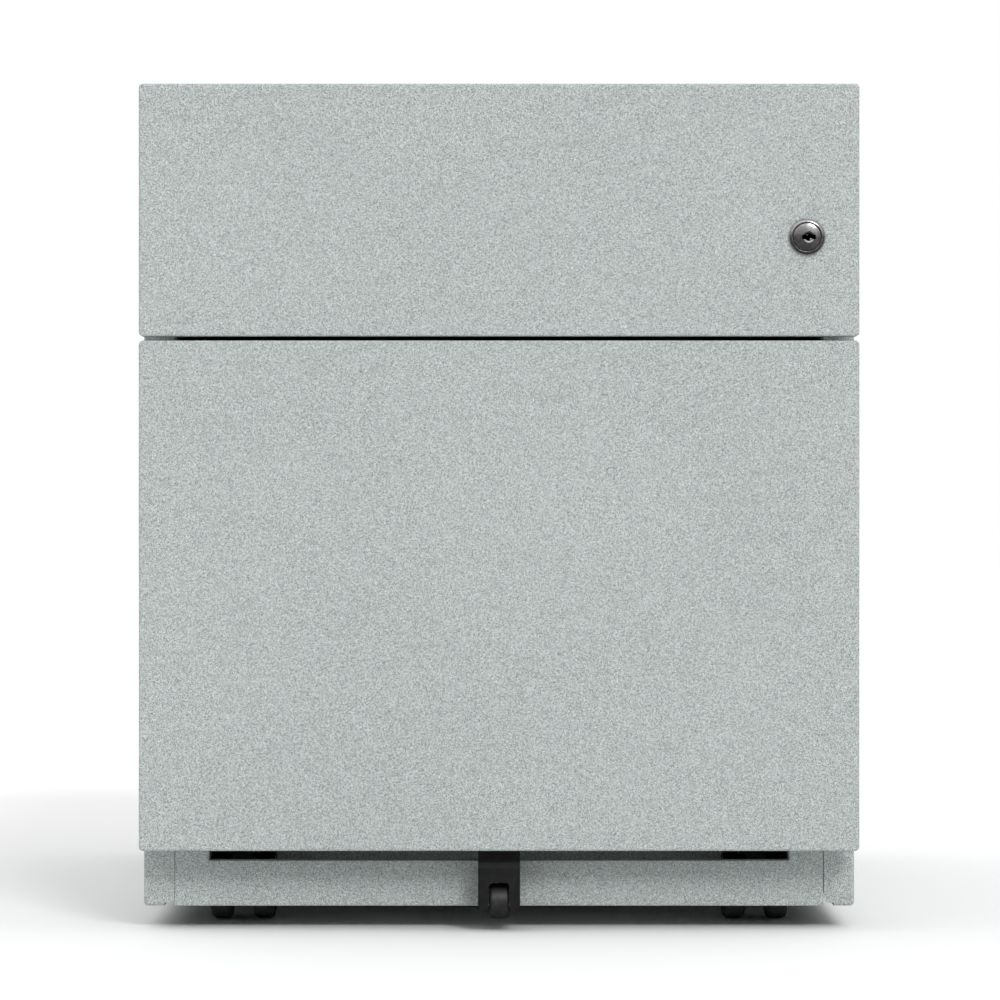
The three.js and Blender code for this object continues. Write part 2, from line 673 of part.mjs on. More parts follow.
// A lever on the plug's square, with the pin that lifts the lock bar.
function lockCam() {
  const hub = LOCK_PLUG_RADIUS;
  const end = CRANK_PIN_RADIUS + 3;
  const steps = 8;
  const arc = (cx, cz, radius, from, to) =>
    Array.from({ length: steps + 1 }, (_, i) => {
      const angle = from + ((to - from) * i) / steps;
      return [cx + radius * Math.cos(angle), cz + radius * Math.sin(angle)];
    });
  const lean = Math.acos((hub - end) / CRANK_RADIUS);
  const outline = [
    ...arc(LOCK_X, LOCK_Z, hub, CRANK_ANGLE + lean, CRANK_ANGLE + 2 * Math.PI - lean),
    ...arc(PIN_X, PIN_Z, end, CRANK_ANGLE - lean, CRANK_ANGLE + lean),
  ];
  const half = CAM_DRIVE / 2 + GAP;
  const square = block(
    [LOCK_X - half, LOCK_X + half],
    [CAM_Y - 1, CAM_Y + CAM_THICKNESS + 1],
    [LOCK_Z - half, LOCK_Z + half],
  );
  const pinEnd = FRAME_Y + TAB_SETBACK + BAR_THICKNESS + SHEET;
  return join(
    cut(extrudeBack(outline, [CAM_Y, CAM_Y + CAM_THICKNESS]), square),
    rodY(CRANK_PIN_RADIUS, PIN_X, [CAM_Y + BITE, pinEnd], PIN_Z, 12),
  );
}

// A strip inside the right front upright, with a slotted tab for the cam's pin and a hook for each drawer.
function lockBar() {
  const reach = UPRIGHT_X - HOOK_REACH;
  const inBar = BAR_X + BAR_THICKNESS / 2;
  const tab = (inner, setback, z) =>
    block([inner, inBar], [FRAME_Y + setback, FRAME_Y + setback + BAR_THICKNESS], z);
  const slotNear = PIN_X - CRANK_PIN_RADIUS - PIN_PLAY;
  const slotFar = LOCK_X + CRANK_RADIUS + CRANK_PIN_RADIUS + PIN_PLAY;
  const slotHalf = CRANK_PIN_RADIUS + PIN_PLAY;
  const tabHalf = slotHalf + BAR_THICKNESS + SHEET;
  const slot = block(
    [slotNear, slotFar],
    [FRAME_Y + TAB_SETBACK - 1, FRAME_Y + TAB_SETBACK + BAR_THICKNESS + 1],
    [PIN_Z - slotHalf, PIN_Z + slotHalf],
  );
  const [fileHook] = hookZ(FILE_CATCH_Z);
  const [, topHook] = hookZ(TOP_CATCH_Z);
  const strip = block(
    [BAR_X, BAR_X + BAR_THICKNESS],
    [FRAME_Y + TAB_SETBACK, FRAME_Y + TAB_SETBACK + BAR_WIDTH],
    [fileHook - HEM, topHook + HEM],
  );
  return cut(
    join(
      strip,
      tab(slotNear - BAR_THICKNESS, TAB_SETBACK, [PIN_Z - tabHalf, PIN_Z + tabHalf]),
      tab(reach, HOOK_SETBACK, hookZ(TOP_CATCH_Z)),
      tab(reach, HOOK_SETBACK, hookZ(FILE_CATCH_Z)),
    ),
    slot,
  );
}

function addLock() {
  add("lock_housing", lockHousing(), DARK_NICKEL);
  add("lock_nut", lockNut(), ZINC);
  add("lock_plug", lockPlug(), DARK_NICKEL);
  add("lock_cam", lockCam(), ZINC);
  add("lock_bar", lockBar(), ZINC);
}

// ---- Wheels ----
const WHEEL_SIDES = 24;

// A wheel about the x axis between x0 and x1.
function wheel(radius, x0, x1, bore, edge) {
  const steps = 2;
  const rounding = (cx, from) =>
    Array.from({ length: steps + 1 }, (_, i) => {
      const angle = from + (Math.PI / 2) * (i / steps);
      return [radius - edge + edge * Math.sin(angle), cx - edge * Math.cos(angle)];
    });
  const profile = [[bore, x0], ...rounding(x0 + edge, 0), ...rounding(x1 - edge, Math.PI / 2), [bore, x1]];
  return lathe(profile, WHEEL_SIDES).rotateZ(-Math.PI / 2);
}

// ---- Castors ----
// Built about the swivel axis at x = 0, y = 0, standing on the floor, with the wheels trailing towards +Y.
const PIVOT_BOTTOM = WHEEL_RADIUS + 6;
const HOOD_TOP = BASE_Z - GAP - CASTOR_PLATE_THICKNESS - GAP;

function castorPlate() {
  const half = CASTOR_PLATE / 2;
  const corner = 4;
  const outline = roundedOutline(rectangle([-half, half], [-half, half]), [corner, corner, corner, corner]);
  const top = BASE_Z - GAP;
  return join(
    extrudeUp(outline, [top - CASTOR_PLATE_THICKNESS, top]),
    rodZ(PIVOT_RADIUS, 0, 0, [PIVOT_BOTTOM + 1, top - BITE]),
  );
}

// Body between the wheels, a guard over them and the boss that turns on the pivot.
function castorHood() {
  const webHalf = WHEEL_SPLIT / 2 - 0.5;
  const inner = WHEEL_RADIUS + HOOD_CLEARANCE;
  const outer = inner + HOOD_WALL;
  const guardHalf = WHEEL_SPLIT / 2 + WHEEL_WIDTH;
  const steps = 10;
  const guardFrom = -0.12 * Math.PI;
  const guardTo = 0.86 * Math.PI;
  const arc = (radius) =>
    Array.from({ length: steps + 1 }, (_, i) => {
      const angle = guardFrom + ((guardTo - guardFrom) * i) / steps;
      return [CASTOR_TRAIL + radius * Math.cos(angle), WHEEL_RADIUS + radius * Math.sin(angle)];
    });
  const guard = extrudeAcross([...arc(inner), ...arc(outer).reverse()], [-guardHalf, guardHalf]);
  const hub = WHEEL_RADIUS - 4;
  const body = rodX(hub, [-webHalf, webHalf], CASTOR_TRAIL, WHEEL_RADIUS, 24);
  const neck = block([-webHalf, webHalf], [-PIVOT_RADIUS - 4, PIVOT_RADIUS + 8], [WHEEL_RADIUS - 2, HOOD_TOP - 1]);
  const boss = rodZ(PIVOT_RADIUS + 7, 0, 0, [WHEEL_RADIUS + outer - BITE, HOOD_TOP], 24);
  const web = block(
    [-webHalf, webHalf],
    [CASTOR_TRAIL - hub, CASTOR_TRAIL + hub / 2],
    [WHEEL_RADIUS, WHEEL_RADIUS + inner * 0.85],
  );
  const whole = join(guard, body, neck, boss, web);
  return cut(
    whole,
    rodZ(PIVOT_RADIUS + AXLE_CLEARANCE * 2, 0, 0, [PIVOT_BOTTOM, HOOD_TOP + 1]),
    rodX(AXLE_RADIUS + AXLE_CLEARANCE, [-webHalf - 1, webHalf + 1], CASTOR_TRAIL, WHEEL_RADIUS, 16),
  );
}

function castorAxle() {
  const half = WHEEL_SPLIT / 2 + WHEEL_WIDTH - 4;
  return rodX(AXLE_RADIUS, [-half, half], CASTOR_TRAIL, WHEEL_RADIUS);
}

function castorWheel() {
  const near = WHEEL_SPLIT / 2;
  const bore = AXLE_RADIUS + AXLE_CLEARANCE;
  return wheel(WHEEL_RADIUS, near, near + WHEEL_WIDTH, bore, WHEEL_EDGE).translate(0, CASTOR_TRAIL, WHEEL_RADIUS);
}

function addCastors() {
  const x = BODY_HALF - CASTOR_FROM_SIDE;
  const places = {
    front_left: [-x, FRAME_Y + CASTOR_FROM_FRONT],
    front_right: [x, FRAME_Y + CASTOR_FROM_FRONT],
    rear_left: [-x, BACK_Y - CASTOR_FROM_BACK],
    rear_right: [x, BACK_Y - CASTOR_FROM_BACK],
  };
  for (const [place, [px, py]] of Object.entries(places)) {
    const pieces = [
      add(`${place}_castor_plate`, castorPlate(), ZINC),
      add(`${place}_castor_hood`, castorHood(), BLACK_PLASTIC),
      add(`${place}_castor_axle`, castorAxle(), ZINC),
      add(`${place}_castor_right_wheel`, castorWheel(), BLACK_TREAD),
      add(`${place}_castor_left_wheel`, castorWheel(), BLACK_TREAD, true),
    ];
    for (const piece of pieces) piece.position.set(px, py, 0);
  }
}

// ---- Fifth wheel ----
const FIFTH_FRONT_Y = FACE_Y + FIFTH_SETBACK;
const FIFTH_REAR_Y = FRAME_Y - FIFTH_PLINTH_GAP;
const FIFTH_Y = (FIFTH_FRONT_Y + FIFTH_REAR_Y) / 2;
const FIFTH_RADIUS = (FIFTH_REAR_Y - FIFTH_FRONT_Y) / 2 - 1.8;
const FIFTH_Z = FIFTH_WHEEL_FLOOR + FIFTH_RADIUS;

function fifthHousing() {
  const half = FIFTH_WIDTH / 2;
  const well = FIFTH_WELL / 2;
  const top = FRONT_BOTTOM_Z - GAP;
  const bottom = FLOOR_GAP + GAP;
  const corner = 2.5;
  const outline = roundedOutline(rectangle([-half, half], [bottom, top]), [corner, corner, 0, 0]);
  const windowZ = FIFTH_Z + FIFTH_RADIUS + 1.5;
  return cut(
    extrudeBack(outline, [FIFTH_FRONT_Y, FIFTH_REAR_Y]),
    block([-well, well], [FIFTH_FRONT_Y + FIFTH_WALL, FIFTH_REAR_Y - FIFTH_WALL], [bottom - 1, top - 2 * FIFTH_WALL]),
    block([-well, well], [FIFTH_FRONT_Y - 1, FIFTH_REAR_Y + 1], [bottom - 1, windowZ]),
    rodX(FIFTH_AXLE_RADIUS + AXLE_CLEARANCE, [-half - 1, half + 1], FIFTH_Y, FIFTH_Z, 12),
  );
}

function addFifthWheel() {
  const half = FIFTH_WIDTH / 2 - 1;
  const tread = FIFTH_WHEEL_WIDTH / 2;
  const bore = FIFTH_AXLE_RADIUS + AXLE_CLEARANCE;
  add("fifth_wheel_housing", fifthHousing(), BLACK_PLASTIC);
  add("fifth_wheel_axle", rodX(FIFTH_AXLE_RADIUS, [-half, half], FIFTH_Y, FIFTH_Z), ZINC);
  add("fifth_wheel", wheel(FIFTH_RADIUS, -tread, tread, bore, FIFTH_EDGE).translate(0, FIFTH_Y, FIFTH_Z), BLACK_TREAD);
}

addCarcass();
addTopDrawer();
addFileDrawer();
addLock();
addCastors();
addFifthWheel();

export default cabinet;
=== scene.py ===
"""A two-drawer steel filing pedestal on castors: its folded sheets, slides, lock, castors and finishes."""

import json
import logging
import math
from collections.abc import Callable, Iterable, Sequence
from dataclasses import dataclass, field
from enum import Enum

import bmesh
import bpy
from bmesh.types import BMEdge, BMFace, BMVert
from mathutils import Matrix, Vector

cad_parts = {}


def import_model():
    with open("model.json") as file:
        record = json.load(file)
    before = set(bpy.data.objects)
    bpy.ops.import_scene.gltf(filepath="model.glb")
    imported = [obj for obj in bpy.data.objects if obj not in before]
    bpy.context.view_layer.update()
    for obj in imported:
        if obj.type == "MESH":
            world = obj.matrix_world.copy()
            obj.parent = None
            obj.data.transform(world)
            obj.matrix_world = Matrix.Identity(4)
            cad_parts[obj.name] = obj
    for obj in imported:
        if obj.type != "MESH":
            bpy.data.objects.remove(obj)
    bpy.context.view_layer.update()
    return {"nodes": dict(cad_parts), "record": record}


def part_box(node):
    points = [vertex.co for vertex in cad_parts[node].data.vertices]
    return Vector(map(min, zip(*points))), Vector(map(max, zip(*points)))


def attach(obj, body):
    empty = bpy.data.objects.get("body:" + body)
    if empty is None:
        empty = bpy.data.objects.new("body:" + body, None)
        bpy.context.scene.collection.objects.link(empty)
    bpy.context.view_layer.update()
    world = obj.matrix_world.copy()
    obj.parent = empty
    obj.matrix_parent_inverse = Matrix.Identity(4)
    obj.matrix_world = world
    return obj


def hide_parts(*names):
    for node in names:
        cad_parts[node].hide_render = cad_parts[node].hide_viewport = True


log = logging.getLogger("pedestal")

METRES = 0.001
SHARP = math.radians(32)

Point2 = tuple[float, float]
Point3 = tuple[float, float, float]
Colour = tuple[float, float, float]
Socket = bpy.types.NodeSocket
Input = bpy.types.NodeSocket | float | Sequence[float]


class Axis(Enum):
    """A row axis."""

    X = 0
    Y = 1
    Z = 2

    @property
    def vector(self) -> Vector:
        """The axis as a unit vector."""
        return Vector([float(i == self.value) for i in range(3)])

    @property
    def others(self) -> tuple[int, int]:
        """The other two axes' indices, in order."""
        return tuple(i for i in range(3) if i != self.value)


class Side(Enum):
    """Left or right, seen from the front."""

    LEFT = -1
    RIGHT = 1

    @property
    def word(self) -> str:
        """The word that node names use."""
        return self.name.lower()


class Slot(Enum):
    """The record's material slots."""

    COAT = "powder_coat"
    ZINC = "zinc_plate"
    PLASTIC = "black_plastic"
    WHEEL = "wheel_plastic"
    NICKEL = "black_nickel"


@dataclass(frozen=True)
class Extent:
    """A node's lowest and highest corners, in millimetres."""

    low: Vector
    high: Vector

    @classmethod
    def of(cls, node: str) -> "Extent":
        """The extent of one CAD node at rest."""
        low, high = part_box(node)
        return cls(low / METRES, high / METRES)

    @property
    def centre(self) -> Vector:
        """The middle of the box."""
        return (self.low + self.high) / 2

    @property
    def size(self) -> Vector:
        """The lengths of its sides."""
        return self.high - self.low

    def span(self, axis: Axis) -> Point2:
        """The two ends along an axis."""
        return self.low[axis.value], self.high[axis.value]


# ---------------------------------------------------------------- node trees


class Tree:
    """A material's node tree, with short calls for the nodes that the finishes use."""

    def __init__(self, name: str) -> None:
        """Starts a material with one Principled shader.

        Args:
            name: The material's name.
        """
        self.material = bpy.data.materials.new(name)
        self.material.use_nodes = True
        self.nodes = self.material.node_tree.nodes
        self.links = self.material.node_tree.links
        self.shader = self.nodes["Principled BSDF"]
        self.place = self.nodes.new("ShaderNodeTexCoord").outputs["Object"]

    def add(
        self, kind: str, settings: dict[str, object] | None = None, **inputs: Input
    ) -> bpy.types.Node:
        """Adds a node, sets its properties and fills its inputs by name.

        Args:
            kind: The node's type without the ShaderNode prefix.
            settings: Its properties.
            inputs: A value or a socket for each input, with _ for a space.

        Returns:
            The new node.
        """
        node = self.nodes.new("ShaderNode" + kind)
        for key, value in (settings or {}).items():
            setattr(node, key, value)
        for key, value in inputs.items():
            self.set(node, key.replace("_", " "), value)
        return node

    def set(self, node: bpy.types.Node, name: str | int, value: Input) -> None:
        """Links a socket to an input, or gives it a value."""
        if isinstance(value, Socket):
            self.links.new(value, node.inputs[name])
        else:
            node.inputs[name].default_value = value

    def stretched(self, scale: Point3) -> Socket:
        """Object coordinates, scaled by axis."""
        return self.add("Mapping", Vector=self.place, Scale=scale).outputs["Vector"]

    def noise(
        self, grain: float, detail: float = 2.0, rough: float = 0.5, place: Socket | None = None
    ) -> Socket:
        """Noise whose lumps are about `grain` metres across.

        Args:
            grain: The size of a lump.
            detail: The number of finer layers.
            rough: How much the finer layers show.
            place: Coordinates other than the plain object coordinates.

        Returns:
            The noise from 0 to 1.
        """
        where = place or self.place
        node = self.add("TexNoise", Vector=where, Scale=1 / grain, Detail=detail, Roughness=rough)
        return node.outputs["Fac"]

    def cells(self, size: float) -> Socket:
        """A random value from 0 to 1 in each small cell."""
        cell = self.add("TexVoronoi", Vector=self.place, Scale=1 / size, Randomness=0.75)
        return self.add("SeparateColor", Color=cell.outputs["Color"]).outputs[0]

    def remap(self, value: Input, ends: Point2, to: Point2) -> Socket:
        """Takes a value from one range to another, clamped."""
        ranges = {"From_Min": ends[0], "From_Max": ends[1], "To_Min": to[0], "To_Max": to[1]}
        return self.add("MapRange", Value=value, **ranges).outputs["Result"]

    def maths(self, operation: str, a: Input, b: Input = 0.0) -> Socket:
        """A Math node's result."""
        node = self.add("Math", {"operation": operation})
        self.set(node, 0, a)
        self.set(node, 1, b)
        return node.outputs[0]

    def tint(self, factor: Input, dark: Colour, light: Colour) -> Socket:
        """A colour between two."""
        node = self.add("Mix", {"data_type": "RGBA"})
        self.set(node, "Factor", factor)
        self.set(node, 6, (*dark, 1.0))
        self.set(node, 7, (*light, 1.0))
        return node.outputs[2]

    def bump(
        self, height: Input, metres: float, strength: float = 1.0, normal: Socket | None = None
    ) -> Socket:
        """A bumped normal, over another normal if one is given."""
        node = self.add("Bump", Height=height, Distance=metres, Strength=strength)
        if normal is not None:
            self.set(node, "Normal", normal)
        return node.outputs["Normal"]

    def shade(self, **inputs: Input) -> bpy.types.Material:
        """Fills the shader's inputs and returns the material."""
        for key, value in inputs.items():
            self.set(self.shader, key.replace("_", " "), value)
        return self.material


# ---------------------------------------------------------------- finishes


class Finish:
    """A finish makes its material once and keeps it."""

    _made: dict["Finish", bpy.types.Material] = {}

    def material(self) -> bpy.types.Material:
        """The finish's material."""
        if self not in self._made:
            self._made[self] = self.make(Tree(type(self).__name__))
        return self._made[self]

    def make(self, tree: Tree) -> bpy.types.Material:
        """Builds the material's nodes."""
        raise NotImplementedError


@dataclass(frozen=True)
class PowderCoat(Finish):
    """Silver-grey fine-texture powder coat: bright and dark flakes in a finely pebbled film."""

    dark: Colour = (0.195, 0.213, 0.210)
    light: Colour = (0.690, 0.746, 0.736)
    flake: float = 0.00034
    pebble: float = 0.0006
    relief: float = 0.00006
    roughness: Point2 = (0.48, 0.66)

    def make(self, tree: Tree) -> bpy.types.Material:
        """Flakes in the colour, pebbles in the bump and a slow drift over the sheet."""
        flakes = tree.cells(self.flake)
        cloud = tree.noise(self.pebble, 1.0, 0.5)
        drift = tree.noise(0.16, 3.0, 0.55)
        flaked = tree.remap(flakes, (0.1, 0.9), (0.0, 0.94))
        tone = tree.maths("ADD", flaked, tree.remap(cloud, (0.25, 0.75), (0.0, 0.06)))
        tone = tree.maths("ADD", tone, tree.remap(drift, (0.3, 0.7), (-0.02, 0.02)))
        pebbles = tree.noise(self.pebble, 2.0, 0.5)
        film = tree.noise(0.004, 1.0, 0.5)
        normal = tree.bump(pebbles, self.relief, 0.8)
        normal = tree.bump(film, self.relief, 0.35, normal)
        return tree.shade(
            Base_Color=tree.tint(tone, self.dark, self.light),
            Metallic=0.1,
            Roughness=tree.remap(pebbles, (0.3, 0.7), self.roughness),
            Normal=normal,
            Specular_IOR_Level=0.35,
        )


@dataclass(frozen=True)
class ZincPlate(Finish):
    """Bright zinc on rolled steel: faint drawing lines, a cool and warm cast and small bloom."""

    cool: Colour = (0.56, 0.59, 0.63)
    warm: Colour = (0.66, 0.65, 0.60)

    def make(self, tree: Tree) -> bpy.types.Material:
        """Lines along the drawer's travel, with patchy passivation."""
        lines = tree.noise(0.00035, 2.0, 0.6, tree.stretched((1.0, 0.02, 1.0)))
        cast = tree.noise(0.012, 3.0, 0.6)
        bloom = tree.noise(0.0025, 4.0, 0.65)
        return tree.shade(
            Base_Color=tree.tint(tree.remap(cast, (0.35, 0.65), (0.0, 1.0)), self.cool, self.warm),
            Metallic=0.92,
            Roughness=tree.remap(bloom, (0.3, 0.75), (0.26, 0.46)),
            Normal=tree.bump(lines, 0.00002, 0.6),
        )


@dataclass(frozen=True)
class BlackNylon(Finish):
    """Black moulded nylon with a fine spark-eroded texture and a little dust."""

    black: Colour = (0.006, 0.0066, 0.0064)
    dusty: Colour = (0.014, 0.015, 0.0145)

    def make(self, tree: Tree) -> bpy.types.Material:
        """Fine grain in the bump and dust in the colour."""
        grain = tree.noise(0.0004, 3.0, 0.6)
        dust = tree.noise(0.006, 4.0, 0.65)
        return tree.shade(
            Base_Color=tree.tint(tree.remap(dust, (0.4, 0.8), (0.0, 1.0)), self.black, self.dusty),
            Roughness=tree.remap(grain, (0.3, 0.7), (0.38, 0.54)),
            Normal=tree.bump(grain, 0.00006, 0.8),
            Specular_IOR_Level=0.36,
        )


@dataclass(frozen=True)
class TreadPlastic(Finish):
    """Hard black wheel plastic, scuffed where it rolls."""

    black: Colour = (0.020, 0.021, 0.021)
    scuffed: Colour = (0.056, 0.056, 0.054)

    def make(self, tree: Tree) -> bpy.types.Material:
        """Fine scratches over patches of wear."""
        wear = tree.noise(0.0035, 5.0, 0.7)
        scratches = tree.noise(0.0005, 3.0, 0.7, tree.stretched((0.12, 1.0, 1.0)))
        worn = tree.remap(wear, (0.42, 0.75), (0.0, 1.0))
        tone = tree.maths("MULTIPLY", worn, tree.remap(scratches, (0.3, 0.7), (0.3, 1.0)))
        return tree.shade(
            Base_Color=tree.tint(tone, self.black, self.scuffed),
            Roughness=tree.remap(scratches, (0.3, 0.7), (0.36, 0.56)),
            Normal=tree.bump(scratches, 0.00004, 0.6),
            Specular_IOR_Level=0.5,
        )


@dataclass(frozen=True)
class BlackNickel(Finish):
    """Polished black nickel on turned brass, with the tool's fine rings."""

    dark: Colour = (0.360, 0.348, 0.356)
    light: Colour = (0.500, 0.486, 0.496)
    axis_x: float = 0.0
    axis_z: float = 0.0

    def make(self, tree: Tree) -> bpy.types.Material:
        """Rings about the lock's axis, and light smears."""
        offset = (-self.axis_x, 0.0, -self.axis_z)
        centred = tree.add("Mapping", Vector=tree.place, Location=offset).outputs["Vector"]
        rings = tree.add(
            "TexWave",
            {"wave_type": "RINGS", "rings_direction": "Y", "wave_profile": "SIN"},
            Vector=centred,
            Scale=520.0,
            Distortion=1.2,
            Detail=2.0,
            Detail_Scale=1.5,
        ).outputs["Fac"]
        smear = tree.noise(0.0022, 3.0, 0.6)
        return tree.shade(
            Base_Color=tree.tint(tree.remap(smear, (0.35, 0.7), (0.0, 1.0)), self.dark, self.light),
            Metallic=1.0,
            Roughness=tree.remap(smear, (0.3, 0.7), (0.16, 0.27)),
            Normal=tree.bump(rings, 0.00001, 0.5),
        )


@dataclass(frozen=True)
class KeywayGrease(Finish):
    """Painted shade on the walls of the keyway: near black where little light gets in."""

    def make(self, tree: Tree) -> bpy.types.Material:
        """Painted shade, nearly black, with dull patches."""
        patches = tree.noise(0.0015, 3.0, 0.6)
        return tree.shade(
            Base_Color=tree.tint(patches, (0.006, 0.005, 0.005), (0.020, 0.018, 0.016)),
            Roughness=tree.remap(patches, (0.3, 0.7), (0.45, 0.7)),
            Normal=tree.bump(patches, 0.00003, 0.6),
            Specular_IOR_Level=0.2,
        )


@dataclass(frozen=True)
class BallSteel(Finish):
    """Polished bearing steel under a film of grease."""

    def make(self, tree: Tree) -> bpy.types.Material:
        """Grease dulls it in patches."""
        grease = tree.noise(0.002, 3.0, 0.6)
        film = tree.remap(grease, (0.4, 0.7), (0.0, 1.0))
        return tree.shade(
            Base_Color=tree.tint(film, (0.62, 0.63, 0.65), (0.45, 0.44, 0.40)),
            Metallic=1.0,
            Roughness=tree.remap(grease, (0.35, 0.7), (0.12, 0.34)),
            Normal=tree.bump(grease, 0.00002, 0.4),
        )


# ---------------------------------------------------------------- shapes


def rounded(place: Vector) -> tuple[float, ...]:
    """A place to the nearest micrometre, to compare corners by."""
    return tuple(round(c, 3) for c in place)


def is_fold(edge: BMEdge) -> bool:
    """Whether two sheets meet at an edge with a sharp fold."""
    return len(edge.link_faces) == 2 and edge.calc_face_angle(0.0) > 0.8


def shoulder(radius: float, start: float, edge: float, steps: int) -> list[Point2]:
    """The rounded edge of a wheel, as points for a turned profile.

    Args:
        radius: The wheel's radius.
        start: Where the wheel's face is along its axle.
        edge: The edge's rounding.
        steps: The number of flats in it.

    Returns:
        The points, each a radius and a place along the axle.
    """
    angles = (math.pi / 2 * i / steps for i in range(steps + 1))
    return [(radius - edge + edge * math.sin(a), start + edge - edge * math.cos(a)) for a in angles]


class Shape:
    """A piece taking shape, in millimetres in the row frame."""

    def __init__(self) -> None:
        """Starts with nothing."""
        self.bm = bmesh.new()

    # -- starting shapes

    def block(self, low: Sequence[float], high: Sequence[float]) -> list[BMVert]:
        """Adds a box between two corners."""
        made = bmesh.ops.create_cube(self.bm, size=1.0)["verts"]
        low, high = Vector(low), Vector(high)
        bmesh.ops.scale(self.bm, vec=high - low, verts=made)
        bmesh.ops.translate(self.bm, vec=(high + low) / 2, verts=made)
        return made

    def leaf(self, axis: Axis, sign: int, low: Sequence[float], high: Sequence[float]) -> None:
        """Adds one flat sheet with no thickness yet.

        Args:
            axis: The axis that it looks along.
            sign: The way it looks.
            low: The low corner of a box that it is one side of.
            high: The box's high corner.
        """
        self.block(low, high)
        kept = set(self.facing(axis, sign))
        bmesh.ops.delete(self.bm, geom=[f for f in self.bm.faces if f not in kept], context="FACES")

    def rod(
        self, axis: Axis, centre: Sequence[float], radius: float, span: Point2, sides: int = 32
    ) -> list[BMVert]:
        """Adds a closed cylinder along an axis.

        Args:
            axis: The cylinder's axis.
            centre: A point on it.
            radius: Its radius.
            span: Its two ends along the axis.
            sides: The number of its sides.

        Returns:
            The new vertices.
        """
        made = bmesh.ops.create_cone(
            self.bm, cap_ends=True, segments=sides, radius1=radius, radius2=radius, depth=span[1] - span[0]
        )["verts"]
        turn = Vector((0, 0, 1)).rotation_difference(axis.vector).to_matrix()
        bmesh.ops.rotate(self.bm, cent=(0, 0, 0), matrix=turn, verts=made)
        place = Vector(centre)
        place[axis.value] = sum(span) / 2
        bmesh.ops.translate(self.bm, vec=place, verts=made)
        return made

    def turned(
        self, axis: Axis, centre: Sequence[float], profile: Iterable[Point2], sides: int = 48
    ) -> list[BMVert]:
        """Turns a profile about an axis, as on a lathe.

        Args:
            axis: The axis.
            centre: A point on it.
            profile: Points as (radius, place along the axis), closed or ending on the axis.
            sides: The number of steps round it.

        Returns:
            The new vertices.
        """
        before = set(self.bm.verts)
        radial = Axis(axis.others[0]).vector
        base = Vector(centre)
        base[axis.value] = 0.0
        points = [self.bm.verts.new(base + radial * r + axis.vector * h) for r, h in profile]
        edges = [self.bm.edges.new(pair) for pair in zip(points, points[1:])]
        if min(r for r, _ in profile) > 0.0:
            edges.append(self.bm.edges.new((points[-1], points[0])))
        turn = {"cent": base, "axis": axis.vector, "angle": 2 * math.pi}
        bmesh.ops.spin(self.bm, geom=points + edges, steps=sides, use_merge=True, **turn)
        made = [v for v in self.bm.verts if v not in before]
        bmesh.ops.remove_doubles(self.bm, verts=made, dist=1e-4)
        made = [v for v in self.bm.verts if v not in before]
        self.outward({f for v in made for f in v.link_faces})
        return made

    def ribbon(
        self, axis: Axis, line: Sequence[Point2], span: Point2, bend: float, outside: Sequence[float]
    ) -> None:
        """Adds a folded sheet with no thickness yet: a line drawn out along an axis, its folds rounded.

        Args:
            axis: The direction along the folds.
            line: The sheet's outer face, in the other two axes.
            span: The two ends along the axis.
            bend: The folds' outer radius.
            outside: A point on the outer side of the first stretch.
        """
        i, j = axis.others
        points = []
        for u, v in line:
            place = Vector((0.0, 0.0, 0.0))
            place[i], place[j], place[axis.value] = u, v, span[0]
            points.append(self.bm.verts.new(place))
        edges = [self.bm.edges.new(pair) for pair in zip(points, points[1:])]
        drawn = bmesh.ops.extrude_edge_only(self.bm, edges=edges)["geom"]
        far = [v for v in drawn if isinstance(v, BMVert)]
        bmesh.ops.translate(self.bm, vec=axis.vector * (span[1] - span[0]), verts=far)
        first = edges[0].link_faces[0]
        self.bm.normal_update()
        if first.normal.dot(Vector(outside) - first.calc_center_median()) < 0:
            bmesh.ops.reverse_faces(self.bm, faces=self.bm.faces[:])
        folds = [e for e in self.bm.edges if len(e.link_faces) == 2]
        self.bevel(folds, bend, 5)

    # -- shaping

    def edges(self, test: Callable[[BMEdge], bool]) -> list[BMEdge]:
        """The edges that pass a test."""
        return [e for e in self.bm.edges if test(e)]

    def faces(self, test: Callable[[BMFace], bool]) -> list[BMFace]:
        """The faces that pass a test."""
        self.bm.normal_update()
        return [f for f in self.bm.faces if test(f)]

    def facing(self, axis: Axis, sign: int) -> list[BMFace]:
        """The faces that look squarely along an axis."""
        return self.faces(lambda f: f.normal[axis.value] * sign > 0.999)

    def open_face(self, axis: Axis, sign: int) -> list[BMEdge]:
        """Takes away the faces on one side and returns the edges of the opening."""
        gone = self.facing(axis, sign)
        rim = list({e for f in gone for e in f.edges})
        bmesh.ops.delete(self.bm, geom=gone, context="FACES_ONLY")
        return [e for e in rim if e.is_valid]

    def bevel(self, edges: list[BMEdge], radius: float, segments: int = 4) -> None:
        """Rounds edges."""
        bmesh.ops.bevel(
            self.bm,
            geom=edges,
            offset=radius,
            offset_type="OFFSET",
            segments=segments,
            profile=0.5,
            affect="EDGES",
            clamp_overlap=True,
            material=-1,
        )

    def round_corners(self, corners: list[BMVert], radius: float, segments: int = 5) -> None:
        """Rounds the corners of a flat sheet."""
        bmesh.ops.bevel(
            self.bm,
            geom=corners,
            offset=radius,
            offset_type="OFFSET",
            segments=segments,
            profile=0.5,
            affect="VERTICES",
            clamp_overlap=True,
            material=-1,
        )

    def soften(self, radius: float, segments: int = 2, least: float = 40.0) -> "Shape":
        """Rounds every edge sharper than `least` degrees."""
        self.bm.normal_update()
        angle = math.radians(least)
        sharp = [e for e in self.bm.edges if e.is_manifold and e.calc_face_angle(0.0) > angle]
        self.bevel(sharp, radius, segments)
        return self

